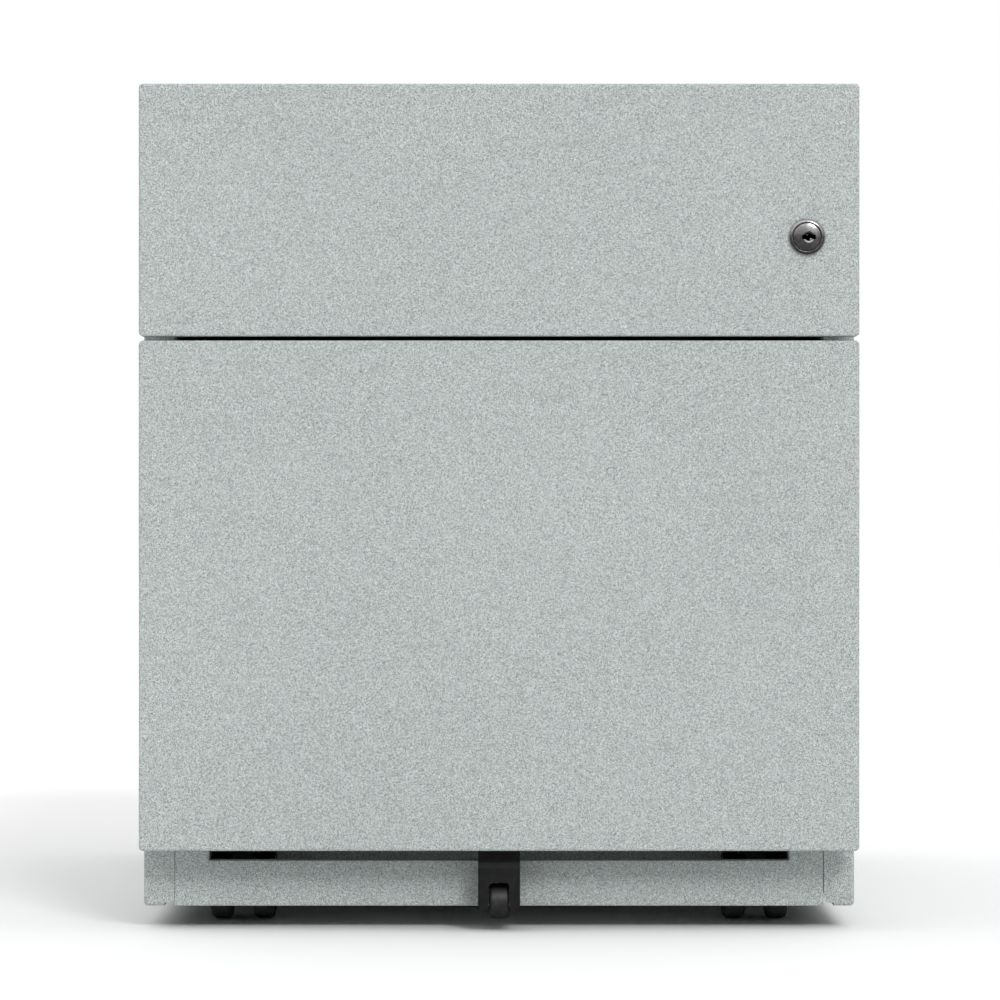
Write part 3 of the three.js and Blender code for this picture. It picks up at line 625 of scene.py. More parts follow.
    def extend(self, edges: list[BMEdge], by: Sequence[float]) -> list[BMEdge]:
        """Draws free edges out by a vector and returns the new free edges."""
        drawn = bmesh.ops.extrude_edge_only(self.bm, edges=edges)["geom"]
        verts = [v for v in drawn if isinstance(v, BMVert)]
        bmesh.ops.translate(self.bm, vec=Vector(by), verts=verts)
        moved = set(verts)
        return [e for e in drawn if isinstance(e, BMEdge) and all(v in moved for v in e.verts)]

    def turn_in(self, rim: list[BMEdge], inset: float, axis: Axis, bend: float) -> list[BMEdge]:
        """Folds a closed rim inwards in its own plane.

        Args:
            rim: The rim's edges.
            inset: How far it turns in; a negative value turns it out.
            axis: The axis square to the rim's plane.
            bend: The fold's radius.

        Returns:
            The new rim's edges.
        """
        verts = list({v for e in rim for v in e.verts})
        low = Vector([min(v.co[i] for v in verts) for i in range(3)])
        high = Vector([max(v.co[i] for v in verts) for i in range(3)])
        drawn = bmesh.ops.extrude_edge_only(self.bm, edges=rim)["geom"]
        new = [v for v in drawn if isinstance(v, BMVert)]
        size = high - low
        scale = Vector([1.0 if i == axis.value else (size[i] - 2 * inset) / size[i] for i in range(3)])
        centre = (low + high) / 2
        bmesh.ops.scale(self.bm, vec=scale, verts=new, space=Matrix.Translation(-centre))
        moved = set(new)
        inner = [e for e in drawn if isinstance(e, BMEdge) and all(v in moved for v in e.verts)]
        if bend:
            near = {rounded(v.co) for e in inner for v in e.verts}
            self.bevel([e for e in rim if e.is_valid], bend, 3)
            inner = self.edges(lambda e: e.is_boundary and all(rounded(v.co) in near for v in e.verts))
        return inner

    def thicken(self, thickness: float) -> "Shape":
        """Gives a sheet its thickness, inwards from the faces drawn."""
        bmesh.ops.solidify(self.bm, geom=self.bm.faces[:], thickness=thickness)
        return self

    def press(self, axis: Axis, sign: int, low: Point2, high: Point2, depth: float, slope: float) -> None:
        """Presses a rectangular bead or panel into a flat face.

        Args:
            axis: The axis that the face looks along.
            sign: The way it looks.
            low: The bead's low corner in the other two axes.
            high: Its high corner.
            depth: How far it goes in; a negative value raises it.
            slope: The width of its sloping edge.
        """
        i, j = axis.others
        for index, places in ((i, (low[0], high[0])), (j, (low[1], high[1]))):
            for place in places:
                cut = Vector((0.0, 0.0, 0.0))
                cut[index] = place
                normal = Axis(index).vector
                faces = self.facing(axis, sign)
                geom = faces + list({e for f in faces for e in f.edges})
                geom += list({v for f in faces for v in f.verts})
                bmesh.ops.bisect_plane(self.bm, geom=geom, plane_co=cut, plane_no=normal, dist=1e-4)
        inside = []
        for face in self.facing(axis, sign):
            middle = face.calc_center_median()
            if low[0] < middle[i] < high[0] and low[1] < middle[j] < high[1]:
                inside.append(face)
        bmesh.ops.inset_region(self.bm, faces=inside, thickness=slope, depth=-depth, use_even_offset=True)

    def outward(self, faces: Iterable[BMFace] | None = None) -> None:
        """Makes the faces look outwards."""
        bmesh.ops.recalc_face_normals(self.bm, faces=list(faces) if faces is not None else self.bm.faces[:])

    def mirrored(self) -> "Shape":
        """Turns the whole shape into its mirror image across the cabinet's middle."""
        bmesh.ops.scale(self.bm, vec=(-1, 1, 1), verts=self.bm.verts[:])
        bmesh.ops.reverse_faces(self.bm, faces=self.bm.faces[:])
        return self

    def for_side(self, side: Side) -> "Shape":
        """The shape as built for the right, or mirrored for the left."""
        return self.mirrored() if side is Side.LEFT else self

    def moved(self, by: Sequence[float]) -> "Shape":
        """Moves the whole shape."""
        bmesh.ops.translate(self.bm, vec=Vector(by), verts=self.bm.verts[:])
        return self

    def take(self, other: "Shape") -> "Shape":
        """Adds another shape's mesh to this one."""
        mesh = bpy.data.meshes.new("part")
        other.bm.to_mesh(mesh)
        self.bm.from_mesh(mesh)
        bpy.data.meshes.remove(mesh)
        return self

    # -- joining and cutting

    def _boolean(self, operation: str, tools: Sequence["Shape"]) -> "Shape":
        """Runs a Boolean modifier for each tool and keeps its result."""
        scene = bpy.context.scene.collection
        for tool in tools:
            pair = []
            for shape in (self, tool):
                mesh = bpy.data.meshes.new("part")
                shape.bm.to_mesh(mesh)
                pair.append(bpy.data.objects.new("part", mesh))
                scene.objects.link(pair[-1])
            work, cutter = pair
            change = work.modifiers.new("change", "BOOLEAN")
            change.operation = operation
            change.solver = "EXACT"
            change.object = cutter
            done = bpy.data.meshes.new_from_object(work.evaluated_get(bpy.context.evaluated_depsgraph_get()))
            self.bm.clear()
            self.bm.from_mesh(done)
            for thing in pair:
                mesh = thing.data
                bpy.data.objects.remove(thing)
                bpy.data.meshes.remove(mesh)
            bpy.data.meshes.remove(done)
            bmesh.ops.remove_doubles(self.bm, verts=self.bm.verts[:], dist=1e-4)
        return self

    def cut(self, *tools: "Shape") -> "Shape":
        """Cuts other shapes out of this one."""
        return self._boolean("DIFFERENCE", tools)

    def keep(self, *tools: "Shape") -> "Shape":
        """Keeps only what lies inside other shapes."""
        return self._boolean("INTERSECT", tools)

    def join(self, *tools: "Shape") -> "Shape":
        """Joins other shapes to this one."""
        return self._boolean("UNION", tools)

    # -- finishing

    def piece(self, name: str, finish: Finish, body: str, slot: Slot, *nodes: str) -> bpy.types.Object:
        """Makes the finished piece, riding on its body.

        Args:
            name: The piece's name.
            finish: What it is finished in.
            body: The body that it rides on.
            slot: The record's slot for its finish; not used.
            nodes: The CAD nodes that it stands for.

        Returns:
            The piece's object.
        """
        bmesh.ops.scale(self.bm, vec=(METRES,) * 3, verts=self.bm.verts[:])
        mesh = bpy.data.meshes.new(name)
        self.bm.to_mesh(mesh)
        self.bm.free()
        mesh.shade_smooth()
        mesh.set_sharp_from_angle(angle=SHARP)
        mesh.materials.append(finish.material())
        piece = bpy.data.objects.new(name, mesh)
        bpy.context.scene.collection.objects.link(piece)
        weigh = piece.modifiers.new("weigh", "WEIGHTED_NORMAL")
        weigh.keep_sharp = True
        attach(piece, body)
        if nodes:
            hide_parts(*nodes)
        log.info("%s: %d faces, on %s", name, len(mesh.polygons), body)
        return piece


def disc(axis: Axis, centre: Sequence[float], radius: float, height: float, sign: int = 1) -> Shape:
    """A domed rivet or button head that stands on a face.

    Args:
        axis: The axis that it stands along.
        centre: The middle of its foot.
        radius: Its radius.
        height: Its height.
        sign: Which way it stands.

    Returns:
        The head.
    """
    foot = centre[axis.value]
    profile = [
        (0.0, foot - 0.3 * sign),
        (radius, foot - 0.3 * sign),
        (radius, foot + 0.25 * height * sign),
        (radius * 0.88, foot + 0.62 * height * sign),
        (radius * 0.6, foot + 0.9 * height * sign),
        (0.0, foot + height * sign),
    ]
    shape = Shape()
    shape.turned(axis, centre, profile, 16)
    return shape


def cross_screw(axis: Axis, centre: Sequence[float], radius: float, height: float, sign: int = 1) -> Shape:
    """A pan-head screw with a cross recess, standing on a face.

    Args:
        axis: The screw's axis.
        centre: The middle of the head's foot.
        radius: The head's radius.
        height: The head's height.
        sign: Which way it stands.

    Returns:
        The screw's head.
    """
    head = disc(axis, centre, radius, height, sign)
    i, j = axis.others
    for long, short in ((i, j), (j, i)):
        low, high = Vector(centre), Vector(centre)
        low[long] -= radius * 0.55
        high[long] += radius * 0.55
        low[short] -= radius * 0.11
        high[short] += radius * 0.11
        ends = sorted((centre[axis.value] + height * 0.35 * sign, centre[axis.value] + height * 2 * sign))
        low[axis.value], high[axis.value] = ends
        slot = Shape()
        slot.block(low, high)
        head.cut(slot)
    return head


# ---------------------------------------------------------------- carcass


@dataclass
class Carcass:
    """The welded case: side panels, top, back, base and skirt."""

    sheet: float = 1.0
    bend: float = 1.8
    edge_return: float = 12.0
    corner: float = 3.2
    foot_round: float = 2.6
    hem: float = 1.8
    channel_places: Point2 = (-165.0, -141.0)
    channel_reach: float = 194.0
    body: str = "carcass"
    finish: Finish = field(default_factory=PowderCoat)

    def side_panel(self, side: Side) -> None:
        """A tray of sheet whose front return is wider than the others."""
        node = f"{side.word}_side_panel"
        right = Extent.of("right_side_panel")
        low, high = right.low.copy(), right.high.copy()
        inner = low.x
        low.x = high.x - self.edge_return
        shape = Shape()
        shape.block(low, high)
        shape.open_face(Axis.X, -1)
        foot = shape.edges(
            lambda e: len(e.link_faces) == 2
            and all(v.co.x > high.x - 0.1 and v.co.z < low.z + 0.1 for v in e.verts)
        )
        shape.bevel(foot, self.foot_round, 6)
        shape.bevel(shape.edges(is_fold), self.bend, 6)
        free = shape.edges(
            lambda e: e.is_boundary
            and all(abs(v.co.y - low.y) < 0.01 for v in e.verts)
            and abs(e.verts[0].co.z - e.verts[1].co.z) > 20
        )
        new = shape.extend(free, (inner - low.x, 0, 0))
        corner = min((v for e in new for v in e.verts), key=lambda v: v.co.z)
        shape.round_corners([corner], self.corner)
        shape.thicken(self.sheet)
        shape.for_side(side).piece(f"side_panel_{side.word}", self.finish, self.body, Slot.COAT, node)

    def top_panel(self) -> None:
        """The top: its front edge is folded down between the side panels and hemmed."""
        box = Extent.of("top_panel")
        inner = Extent.of("right_side_panel").low.x - 0.3
        y0, y1 = box.span(Axis.Y)
        z0, z1 = box.span(Axis.Z)
        shape = Shape()
        line = [(y1, z1), (y0, z1), (y0, z0), (y0 + 8.0, z0)]
        shape.ribbon(Axis.X, line, box.span(Axis.X), self.bend, (0, 0, z1 + 100))
        shape.thicken(self.sheet)
        for sign in (-1, 1):
            ends = sorted((sign * inner, sign * (box.high.x + 1)))
            waste = Shape()
            waste.block((ends[0], y0 - 1, z0 - 1), (ends[1], y0 + 20, z1 - self.sheet + 0.02))
            shape.cut(waste)
        rims = shape.edges(
            lambda e: all(abs(abs(v.co.x) - box.high.x) < 0.02 and v.co.z > z1 - 0.02 for v in e.verts)
        )
        shape.bevel(rims, 0.4, 3)
        shape.piece("top_panel_sheet", self.finish, self.body, Slot.COAT, "top_panel")

    def back_panel(self) -> None:
        """The back, with a pressed field and button-head rivets down its edges."""
        box = Extent.of("back_panel")
        plane = box.high.y - 0.45
        shape = Shape()
        shape.leaf(Axis.Y, 1, box.low, (box.high.x, plane, box.high.z))
        shape.press(Axis.Y, 1, (box.low.x + 30, box.low.z + 44), (box.high.x - 30, box.high.z - 36), 3.4, 3.4)
        shape.thicken(0.7)
        for x in (box.low.x + 8, box.high.x - 8):
            for step in range(6):
                z = box.low.z + 24 + step * (box.size.z - 48) / 5
                shape.take(disc(Axis.Y, (x, plane, z), 3.2, 0.44))
        shape.piece("back_panel_sheet", self.finish, self.body, Slot.COAT, "back_panel")

    def channel(self) -> Shape:
        """The folded channel across the base, behind the front castors."""
        box = Extent.of("base_pan")
        (front, back), reach = self.channel_places, self.channel_reach
        top = box.high.z - self.sheet - 0.3
        line = [(front, top), (front, box.low.z), (back, box.low.z), (back, top)]
        shape = Shape()
        shape.ribbon(Axis.X, line, (-reach, reach), 1.6, (0, front - 50, box.centre.z))
        shape.thicken(self.sheet)
        return shape

    def base_pan(self) -> None:
        """The base, a downward tray with two beads and a cross channel behind the front castors."""
        box = Extent.of("base_pan")
        shape = Shape()
        shape.block(box.low, box.high)
        shape.open_face(Axis.Z, -1)
        shape.open_face(Axis.Y, -1)
        shape.bevel(shape.edges(lambda e: len(e.link_faces) == 2), self.bend, 5)
        for x in (-90.0, 40.0):
            shape.press(Axis.Z, 1, (x, box.low.y + 60), (x + 50.0, box.high.y - 60), 1.4, 4.0)
        shape.thicken(self.sheet)
        shape.take(self.channel())
        shape.piece("base_pan_sheet", self.finish, self.body, Slot.COAT, "base_pan")

    def skirt(self) -> None:
        """The skirt under the filing drawer, with raised ends beside the long slot."""
        box = Extent.of("front_plinth")
        low, high = box.low.copy(), box.high.copy()
        low.x -= 0.25
        tab, step = 20.3, 9.8
        middle = high.z - step
        shape = Shape()
        shape.leaf(Axis.Y, -1, low, (high.x, low.y + 1, middle))
        for x in (low.x + tab, high.x - tab):
            geom = shape.bm.verts[:] + shape.bm.edges[:] + shape.bm.faces[:]
            bmesh.ops.bisect_plane(shape.bm, geom=geom, plane_co=(x, 0, 0), plane_no=(1, 0, 0), dist=1e-4)
        level = shape.edges(lambda e: all(abs(v.co.z - middle) < 0.01 for v in e.verts))
        tops = [e for e in level if abs(sum(v.co.x for v in e.verts)) > 300]
        shape.extend(tops, (0, 0, step))

        def near(x: float, z: float) -> list[BMVert]:
            """The corner at a place."""
            return [v for v in shape.bm.verts if abs(v.co.x - x) < 0.01 and abs(v.co.z - z) < 0.01]

        worn = near(low.x + tab, high.z)
        bmesh.ops.translate(shape.bm, vec=(0, 0, -3.0), verts=worn)
        right_foot, tab_tops = near(high.x, low.z), near(high.x, high.z) + near(high.x - tab, high.z) + worn
        shape.round_corners(right_foot, 2.6)
        shape.round_corners([v for v in tab_tops if v.is_valid], 1.6)
        rim = shape.edges(lambda e: e.is_boundary)
        free = shape.extend(rim, (0, self.hem, 0))
        upper = [e for e in free if all(v.co.z > low.z + 4.0 for v in e.verts)]
        shape.extend(upper, (0, 8.0 - self.hem, 0))
        shape.bevel([e for e in rim if e.is_valid], 0.7, 3)
        shape.thicken(self.sheet)
        shape.piece("skirt", self.finish, self.body, Slot.COAT, "front_plinth")

    def uprights(self) -> None:
        """The four channels that carry the slides; the right front one has windows for the lock bar."""
        for end in ("front", "rear"):
            for side in Side:
                box = Extent.of(f"right_{end}_upright")
                y0, y1 = box.span(Axis.Y)
                line = [(box.high.x, y1), (box.low.x, y1), (box.low.x, y0), (box.high.x, y0)]
                shape = Shape()
                shape.ribbon(Axis.Z, line, box.span(Axis.Z), 1.6, (box.centre.x, y1 + 50, box.centre.z))
                shape.thicken(self.sheet)
                if end == "front" and side is Side.RIGHT:
                    for z0, z1 in ((393.0, 434.6), (266.0, 289.9)):
                        window = Shape()
                        window.block((box.low.x - 1, y0 + 2.7, z0), (box.low.x + 3, y0 + 12.7, z1))
                        shape.cut(window)
                name = f"{side.word}_{end}_upright"
                shape.for_side(side).piece(f"{name}_channel", self.finish, self.body, Slot.COAT, name)

    def build(self) -> None:
        """Builds every sheet of the case."""
        for side in Side:
            self.side_panel(side)
        self.top_panel()
        self.back_panel()
        self.base_pan()
        self.skirt()
        self.uprights()


# ---------------------------------------------------------------- drawers


@dataclass
class Drawer:
    """One drawer: its front pan, inner front, tray and what is fixed to them."""

    name: str
    lock_hole: bool = False
    sheet: float = 1.0
    edge: float = 1.4
    corner: float = 2.4
    lip: float = 12.0
    hem: float = 7.0
    finish: Finish = field(default_factory=PowderCoat)

    @property
    def body(self) -> str:
        """The drawer's body."""
        return f"{self.name}_drawer"

    def front(self) -> None:
        """The front, a folded pan with lips turned in behind it."""
        box = Extent.of(f"{self.name}_drawer_front")
        shape = Shape()
        shape.block(box.low, box.high)
        shape.open_face(Axis.Y, 1)
        shape.bevel(shape.edges(lambda e: abs(e.verts[0].co.y - e.verts[1].co.y) > 5), self.corner, 6)
        shape.bevel(shape.edges(is_fold), self.edge, 6)
        rim = shape.edges(lambda e: e.is_boundary)
        shape.turn_in(rim, self.lip, Axis.Y, 0.9)
        shape.thicken(self.sheet)
        if self.lock_hole:
            lock = Extent.of("lock_housing").centre
            hole = Shape()
            hole.rod(Axis.Y, lock, 9.8, (box.low.y - 2, box.low.y + 4), 40)
            shape.cut(hole)
        shape.piece(f"{self.name}_front", self.finish, self.body, Slot.COAT, f"{self.name}_drawer_front")

    def inner_front(self) -> None:
        """The inner front between the finger gaps."""
        box = Extent.of(f"{self.name}_drawer_inner_front")
        half, flange = 150.0, 20.0
        line = [
            (-half - flange, box.high.y - self.sheet),
            (-half, box.high.y - self.sheet),
            (-half, box.low.y),
            (half, box.low.y),
            (half, box.high.y - self.sheet),
            (half + flange, box.high.y - self.sheet),
        ]
        shape = Shape()
        shape.ribbon(Axis.Z, line, box.span(Axis.Z), 1.4, (-half - flange / 2, box.low.y - 100, box.centre.z))
        shape.thicken(self.sheet)
        node = f"{self.name}_drawer_inner_front"
        shape.piece(f"{self.name}_inner_front", self.finish, self.body, Slot.COAT, node)

    def tray(self) -> None:
        """The tray, with hemmed edges and beads pressed in its floor."""
        box = Extent.of(f"{self.name}_drawer_tray")
        shape = Shape()
        shape.block(box.low, box.high)
        shape.open_face(Axis.Z, 1)
        shape.bevel(shape.edges(lambda e: len(e.link_faces) == 2), self.edge, 5)
        rim = shape.edges(lambda e: e.is_boundary)
        rim = shape.turn_in(rim, 2.4, Axis.Z, 0.7)
        shape.extend(rim, (0, 0, -self.hem))
        for x in (-120.0, -30.0, 60.0):
            shape.press(Axis.Z, -1, (x, box.low.y + 40), (x + 60.0, box.high.y - 40), 1.2, 4.0)
        shape.thicken(self.sheet)
        shape.piece(f"{self.name}_tray", self.finish, self.body, Slot.COAT, f"{self.name}_drawer_tray")

    def fixings(self) -> None:
        """The screws that hold the inner front to the tray's front wall, seen inside the tray."""
        tray = Extent.of(f"{self.name}_drawer_tray")
        shape = Shape()
        for x in (-130.0, 130.0):
            for z in (tray.low.z + 20, tray.high.z - 24):
                shape.take(cross_screw(Axis.Y, (x, tray.low.y + self.sheet, z), 4.0, 2.2))
        shape.piece(f"{self.name}_front_screws", ZincPlate(), self.body, Slot.ZINC)

    def catch(self) -> None:
        """The angle that the lock bar's hook stands in front of, riveted to the tray's wall."""
        node = f"{self.name}_drawer_catch"
        box = Extent.of(node)
        line = [(box.low.x, box.high.y), (box.low.x, box.low.y), (box.high.x, box.low.y)]
        shape = Shape()
        shape.ribbon(Axis.Z, line, box.span(Axis.Z), 2.0, (0, box.centre.y, box.centre.z))
        shape.thicken(1.5)
        shape.take(disc(Axis.X, (box.low.x + 1.5, box.high.y - 5, box.centre.z), 2.4, 1.1))
        shape.piece(f"{self.name}_catch", ZincPlate(), self.body, Slot.ZINC, node)

    def build(self) -> None:
        """Builds the drawer's sheets and screws."""
        self.front()
        self.inner_front()
        self.tray()
        self.fixings()
        self.catch()


@dataclass
class FileRails:
    """The two rails that the suspension files hang from."""

    body: str = "file_drawer"

    def build(self) -> None:
        """A flat rail with a rounded upper edge and a hook over the tray at each end."""
        for side in Side:
            node = f"{side.word}_file_rail"
            box = Extent.of("right_file_rail")
            tray = Extent.of("file_drawer_tray").high.z
            shape = Shape()
            shape.block(box.low, box.high)
            for low, high in ((box.low.y - 1, box.low.y + 1.3), (box.high.y - 1.3, box.high.y + 1)):
                notch = Shape()
                notch.block((box.low.x - 1, low, box.low.z - 1), (box.high.x + 1, high, tray + 0.3))
                shape.cut(notch)
            shape.soften(0.45, 3)
            shape.for_side(side).piece(f"file_rail_{side.word}", ZincPlate(), self.body, Slot.ZINC, node)


# ---------------------------------------------------------------- slides


@dataclass
class Slide:
    """A ball-bearing telescopic slide: three members, two ball cages and their balls."""

    drawer: str
    outer_steel: float = 1.2
    middle_steel: float = 1.0
    lip: float = 2.7
    ball: float = 1.35

    def member(self, side: Side, which: str, steel: float, lip: float, opens_in: bool, body: str) -> None:
        """One member, a channel with rounded raceways.

        Args:
            side: The cabinet's side.
            which: outer, middle or inner.
            steel: Its thickness.
            lip: The height of the lips at its mouth.
            opens_in: Whether it opens towards the drawer.
            body: The body that it rides on.
        """
        box = Extent.of(f"{self.drawer}_right_slide_{which}")
        z0, z1 = box.span(Axis.Z)
        web, mouth = (box.high.x, box.low.x) if opens_in else (box.low.x, box.high.x)
        line = [(mouth, z1), (web, z1), (web, z0), (mouth, z0)]
        if lip:
            line = [(mouth, z1 - lip), *line, (mouth, z0 + lip)]
            outside = (mouth + (mouth - web), 0, z1 - lip / 2)
        else:
            outside = ((mouth + web) / 2, 0, z1 + 50)
        shape = Shape()
        shape.ribbon(Axis.Y, line, box.span(Axis.Y), min(2.2, steel + 0.8) if lip else 1.4, outside)
        shape.thicken(steel)
        middle = box.centre.z
        for step in range(5):
            y = box.low.y + 30 + step * (box.size.y - 60) / 4
            hole = Shape()
            hole.rod(Axis.X, (0, y, middle), 2.6 if step % 2 else 3.4, (web - 4, web + 4), 24)
            shape.cut(hole)
        node = f"{self.drawer}_{side.word}_slide_{which}"
        name = f"{self.drawer}_slide_{which}_{side.word}"
        shape.for_side(side).piece(name, ZincPlate(), body, Slot.ZINC, node)

    def balls(self, side: Side, member: str, inside: str, steel: float, body: str) -> None:
        """The ball cages and balls at the front end of one member's raceways.

        Args:
            side: The cabinet's side.
            member: The member that the balls run in, outer or middle.
            inside: The member that runs inside it.
            steel: The outer one's thickness.
            body: The body that the cages stay with.
        """
        far = Extent.of(f"{self.drawer}_right_slide_{member}")
        near = Extent.of(f"{self.drawer}_right_slide_{inside}")
        x = far.low.x + 4.4
        height = (far.high.z - steel + near.high.z) / 2
        cage, balls = Shape(), Shape()
        start = far.low.y + 10
        for z in (height, 2 * far.centre.z - height):
            cage.block((x - 1.9, start - 3, z - 0.2), (x + 1.9, start + 60, z + 0.2))
            for step in range(8):
                made = bmesh.ops.create_uvsphere(balls.bm, u_segments=12, v_segments=8, radius=self.ball)
                bmesh.ops.translate(balls.bm, vec=(x, start + 1 + step * 7.6, z), verts=made["verts"])
        cage.soften(0.15, 2)
        name = f"{self.drawer}_{member}"
        cage.for_side(side).piece(f"{name}_ball_cage_{side.word}", ZincPlate(), body, Slot.ZINC)
        balls.for_side(side).piece(f"{name}_balls_{side.word}", BallSteel(), body, Slot.ZINC)

    def build(self) -> None:
        """Builds both sides' slides."""
        for side in Side:
            middle_body = f"{self.drawer}_{side.word}_slide_middle_body"
            self.member(side, "outer", self.outer_steel, self.lip, True, "carcass")
            self.member(side, "middle", self.middle_steel, self.lip, True, middle_body)
            self.member(side, "inner", self.outer_steel, 0.0, False, f"{self.drawer}_drawer")
            self.balls(side, "outer", "middle", self.outer_steel, "carcass")
            self.balls(side, "middle", "inner", self.middle_steel, middle_body)


# ---------------------------------------------------------------- lock


@dataclass
class Lock:
    """The cylinder lock: housing, nut, plug and cam."""

    flange: float = 10.7
    barrel: float = 9.5
    bore: float = 8.2
    plug: float = 8.1
    proud: float = 3.2
    keyway: Point2 = (8.1, 2.7)
    keyway_offset: float = 1.0
    mouth: float = 2.35
    crown: float = 0.85
    square: float = 7.0
    pin: Point3 = (184.25, 0.0, 400.45)
    crank_pin: float = 2.0
    hook_gap: float = 2.3

    def __post_init__(self) -> None:
        """Finds the lock's axis and planes."""
        self.box = Extent.of("lock_housing")
        self.centre = self.box.centre
        self.face = Extent.of("top_drawer_front").low.y
        self.tip = self.face - self.proud
        self.finish = BlackNickel(axis_x=self.centre.x * METRES, axis_z=self.centre.z * METRES)

    def square_bar(self, width: float, start: float, end: float) -> Shape:
        """A square bar on the lock's axis, from one place to another along it."""
        half = width / 2
        x, z = self.centre.x, self.centre.z
        bar = Shape()
        bar.block((x - half, start, z - half), (x + half, end, z + half))
        return bar

    def housing(self) -> None:
        """A domed flange with a groove round the plug, and a threaded barrel."""
        front, rear = self.tip, self.box.high.y
        thread = []
        y = self.face + 1.5
        while y < rear - 2.5:
            thread += [(self.barrel, y), (self.barrel - 0.35, y + 0.4)]
            y += 0.8
        profile = [
            (self.bore, rear),
            (self.bore, front + 1.6),
            (self.bore + 0.12, front + 0.92),
            (self.bore + 0.34, front + 0.66),
            (self.bore + 0.62, front + 0.60),
            (self.bore + 1.1, front + 0.74),
            (self.flange - 0.8, front + 1.08),
            (self.flange - 0.36, front + 1.52),
            (self.flange - 0.1, front + 2.02),
            (self.flange, front + 2.6),
            (self.flange, self.face - 0.3),
            (self.barrel, self.face - 0.3),
            *thread,
            (self.barrel, rear - 0.6),
            (self.barrel - 0.6, rear),
        ]
        shape = Shape()
        shape.turned(Axis.Y, self.centre, profile, 72)
        shape.piece("lock_flange", self.finish, "top_drawer", Slot.NICKEL, "lock_housing")

    def nut(self) -> None:
        """The hexagon nut behind the drawer's face."""
        box = Extent.of("lock_nut")
        shape = Shape()
        shape.rod(Axis.Y, self.centre, 24 / math.sqrt(3), box.span(Axis.Y), 6)
        shape.soften(0.5, 2)
        hole = Shape()
        hole.rod(Axis.Y, self.centre, self.barrel + 0.1, (box.low.y - 1, box.high.y + 1), 48)
        shape.cut(hole)
        shape.piece("lock_hexagon_nut", ZincPlate(), "top_drawer", Slot.ZINC, "lock_nut")

    def core(self) -> None:
        """The domed plug with a round mouth in its keyway, and the square that drives the cam."""
        box = Extent.of("lock_plug")
        front = self.tip
        body_end = self.box.high.y
        edge = self.plug - 0.3
        dome = [(edge * t, front + self.crown * t * t) for t in (i / 8 for i in range(9))]
        profile = [
            *dome,
            (self.plug - 0.06, front + self.crown + 0.18),
            (self.plug, front + self.crown + 0.5),
            (self.plug, body_end),
            (0.0, body_end),
        ]
        shape = Shape()
        shape.turned(Axis.Y, self.centre, profile, 72)
        square = self.square_bar(self.square, body_end - 1, box.high.y).soften(0.5, 2)
        x = self.centre.x + self.keyway_offset
        wide, tall = self.keyway
        z0, z1 = self.centre.z - tall / 2, self.centre.z + tall / 2
        slot = Shape()
        slot.block((x - wide / 2, front - 1, z0), (x + wide / 2, front + 14, z1))
        slot.bevel(slot.edges(lambda e: abs(e.verts[0].co.y - e.verts[1].co.y) > 5), 0.5, 3)
        mouth = Shape()
        r = self.mouth
        cone = [
            (0.0, front - 1),
            (r + 1.1, front - 1),
            (r + 1.0, front + 0.14),
            (r, front + 0.75),
            (r - 0.2, front + 6),
            (0.0, front + 6),
        ]
        mouth.turned(Axis.Y, (x, 0, self.centre.z), cone, 40)
        shape.join(square)
        shape.cut(slot, mouth)
        # The keyway's walls take the second, near-black material: painted shade inside the keyway.
        reach = wide / 2 + 0.1
        for face in shape.bm.faces:
            at = face.calc_center_median() - Vector((x, front, self.centre.z))
            if 0.8 < at.y < 14.5 and math.hypot(at.x, at.z) < reach:
                face.material_index = 1
        core = shape.piece("lock_core", self.finish, "lock_plug_body", Slot.NICKEL, "lock_plug")
        core.data.materials.append(KeywayGrease().material())

    def wards(self) -> None:
        """The wards in the keyway and the screw that holds the cam."""
        x = self.centre.x + self.keyway_offset
        pins = Shape()
        pins.take(disc(Axis.Z, (x + 1.2, self.tip + 3.2, self.centre.z - self.keyway[1] / 2), 0.8, 1.0))
        pins.take(disc(Axis.Z, (x - 0.9, self.tip + 3.2, self.centre.z + self.keyway[1] / 2), 0.8, 0.8, -1))
        pins.piece("lock_pins", BallSteel(), "lock_plug_body", Slot.NICKEL)
        screw = cross_screw(Axis.Y, (self.centre.x, Extent.of("lock_plug").high.y, self.centre.z), 4.6, 2.0)
        screw.piece("cam_screw", ZincPlate(), "lock_plug_body", Slot.ZINC)

    def cam(self) -> None:
        """The cam, a plate round the square with the crank pin at its end."""
        box = Extent.of("lock_cam")
        plate = Shape()
        plate.rod(Axis.Y, self.centre, 8.1, (box.low.y, box.low.y + 2), 40)
        plate.rod(Axis.Y, self.pin, 5.0, (box.low.y, box.low.y + 2), 32)
        hull = set(bmesh.ops.convex_hull(plate.bm, input=plate.bm.verts[:])["geom"])
        spare = [v for v in plate.bm.verts if not any(f in hull for f in v.link_faces)]
        old = [f for f in plate.bm.faces if f not in hull]
        bmesh.ops.delete(plate.bm, geom=old, context="FACES_ONLY")
        bmesh.ops.delete(plate.bm, geom=[v for v in spare if v.is_valid], context="VERTS")
        bmesh.ops.dissolve_limit(plate.bm, angle_limit=0.02, verts=plate.bm.verts[:], edges=plate.bm.edges[:])
        plate.outward()
        plate.soften(0.25, 2)
        plate.cut(self.square_bar(self.square + 0.2, box.low.y - 1, box.low.y + 3))
        rod = Shape()
        rod.rod(Axis.Y, self.pin, self.crank_pin, (box.low.y + 1, box.high.y), 24)
        rod.soften(0.4, 2)
        plate.join(rod)
        plate.piece("cam_plate", ZincPlate(), "lock_plug_body", Slot.ZINC, "lock_cam")

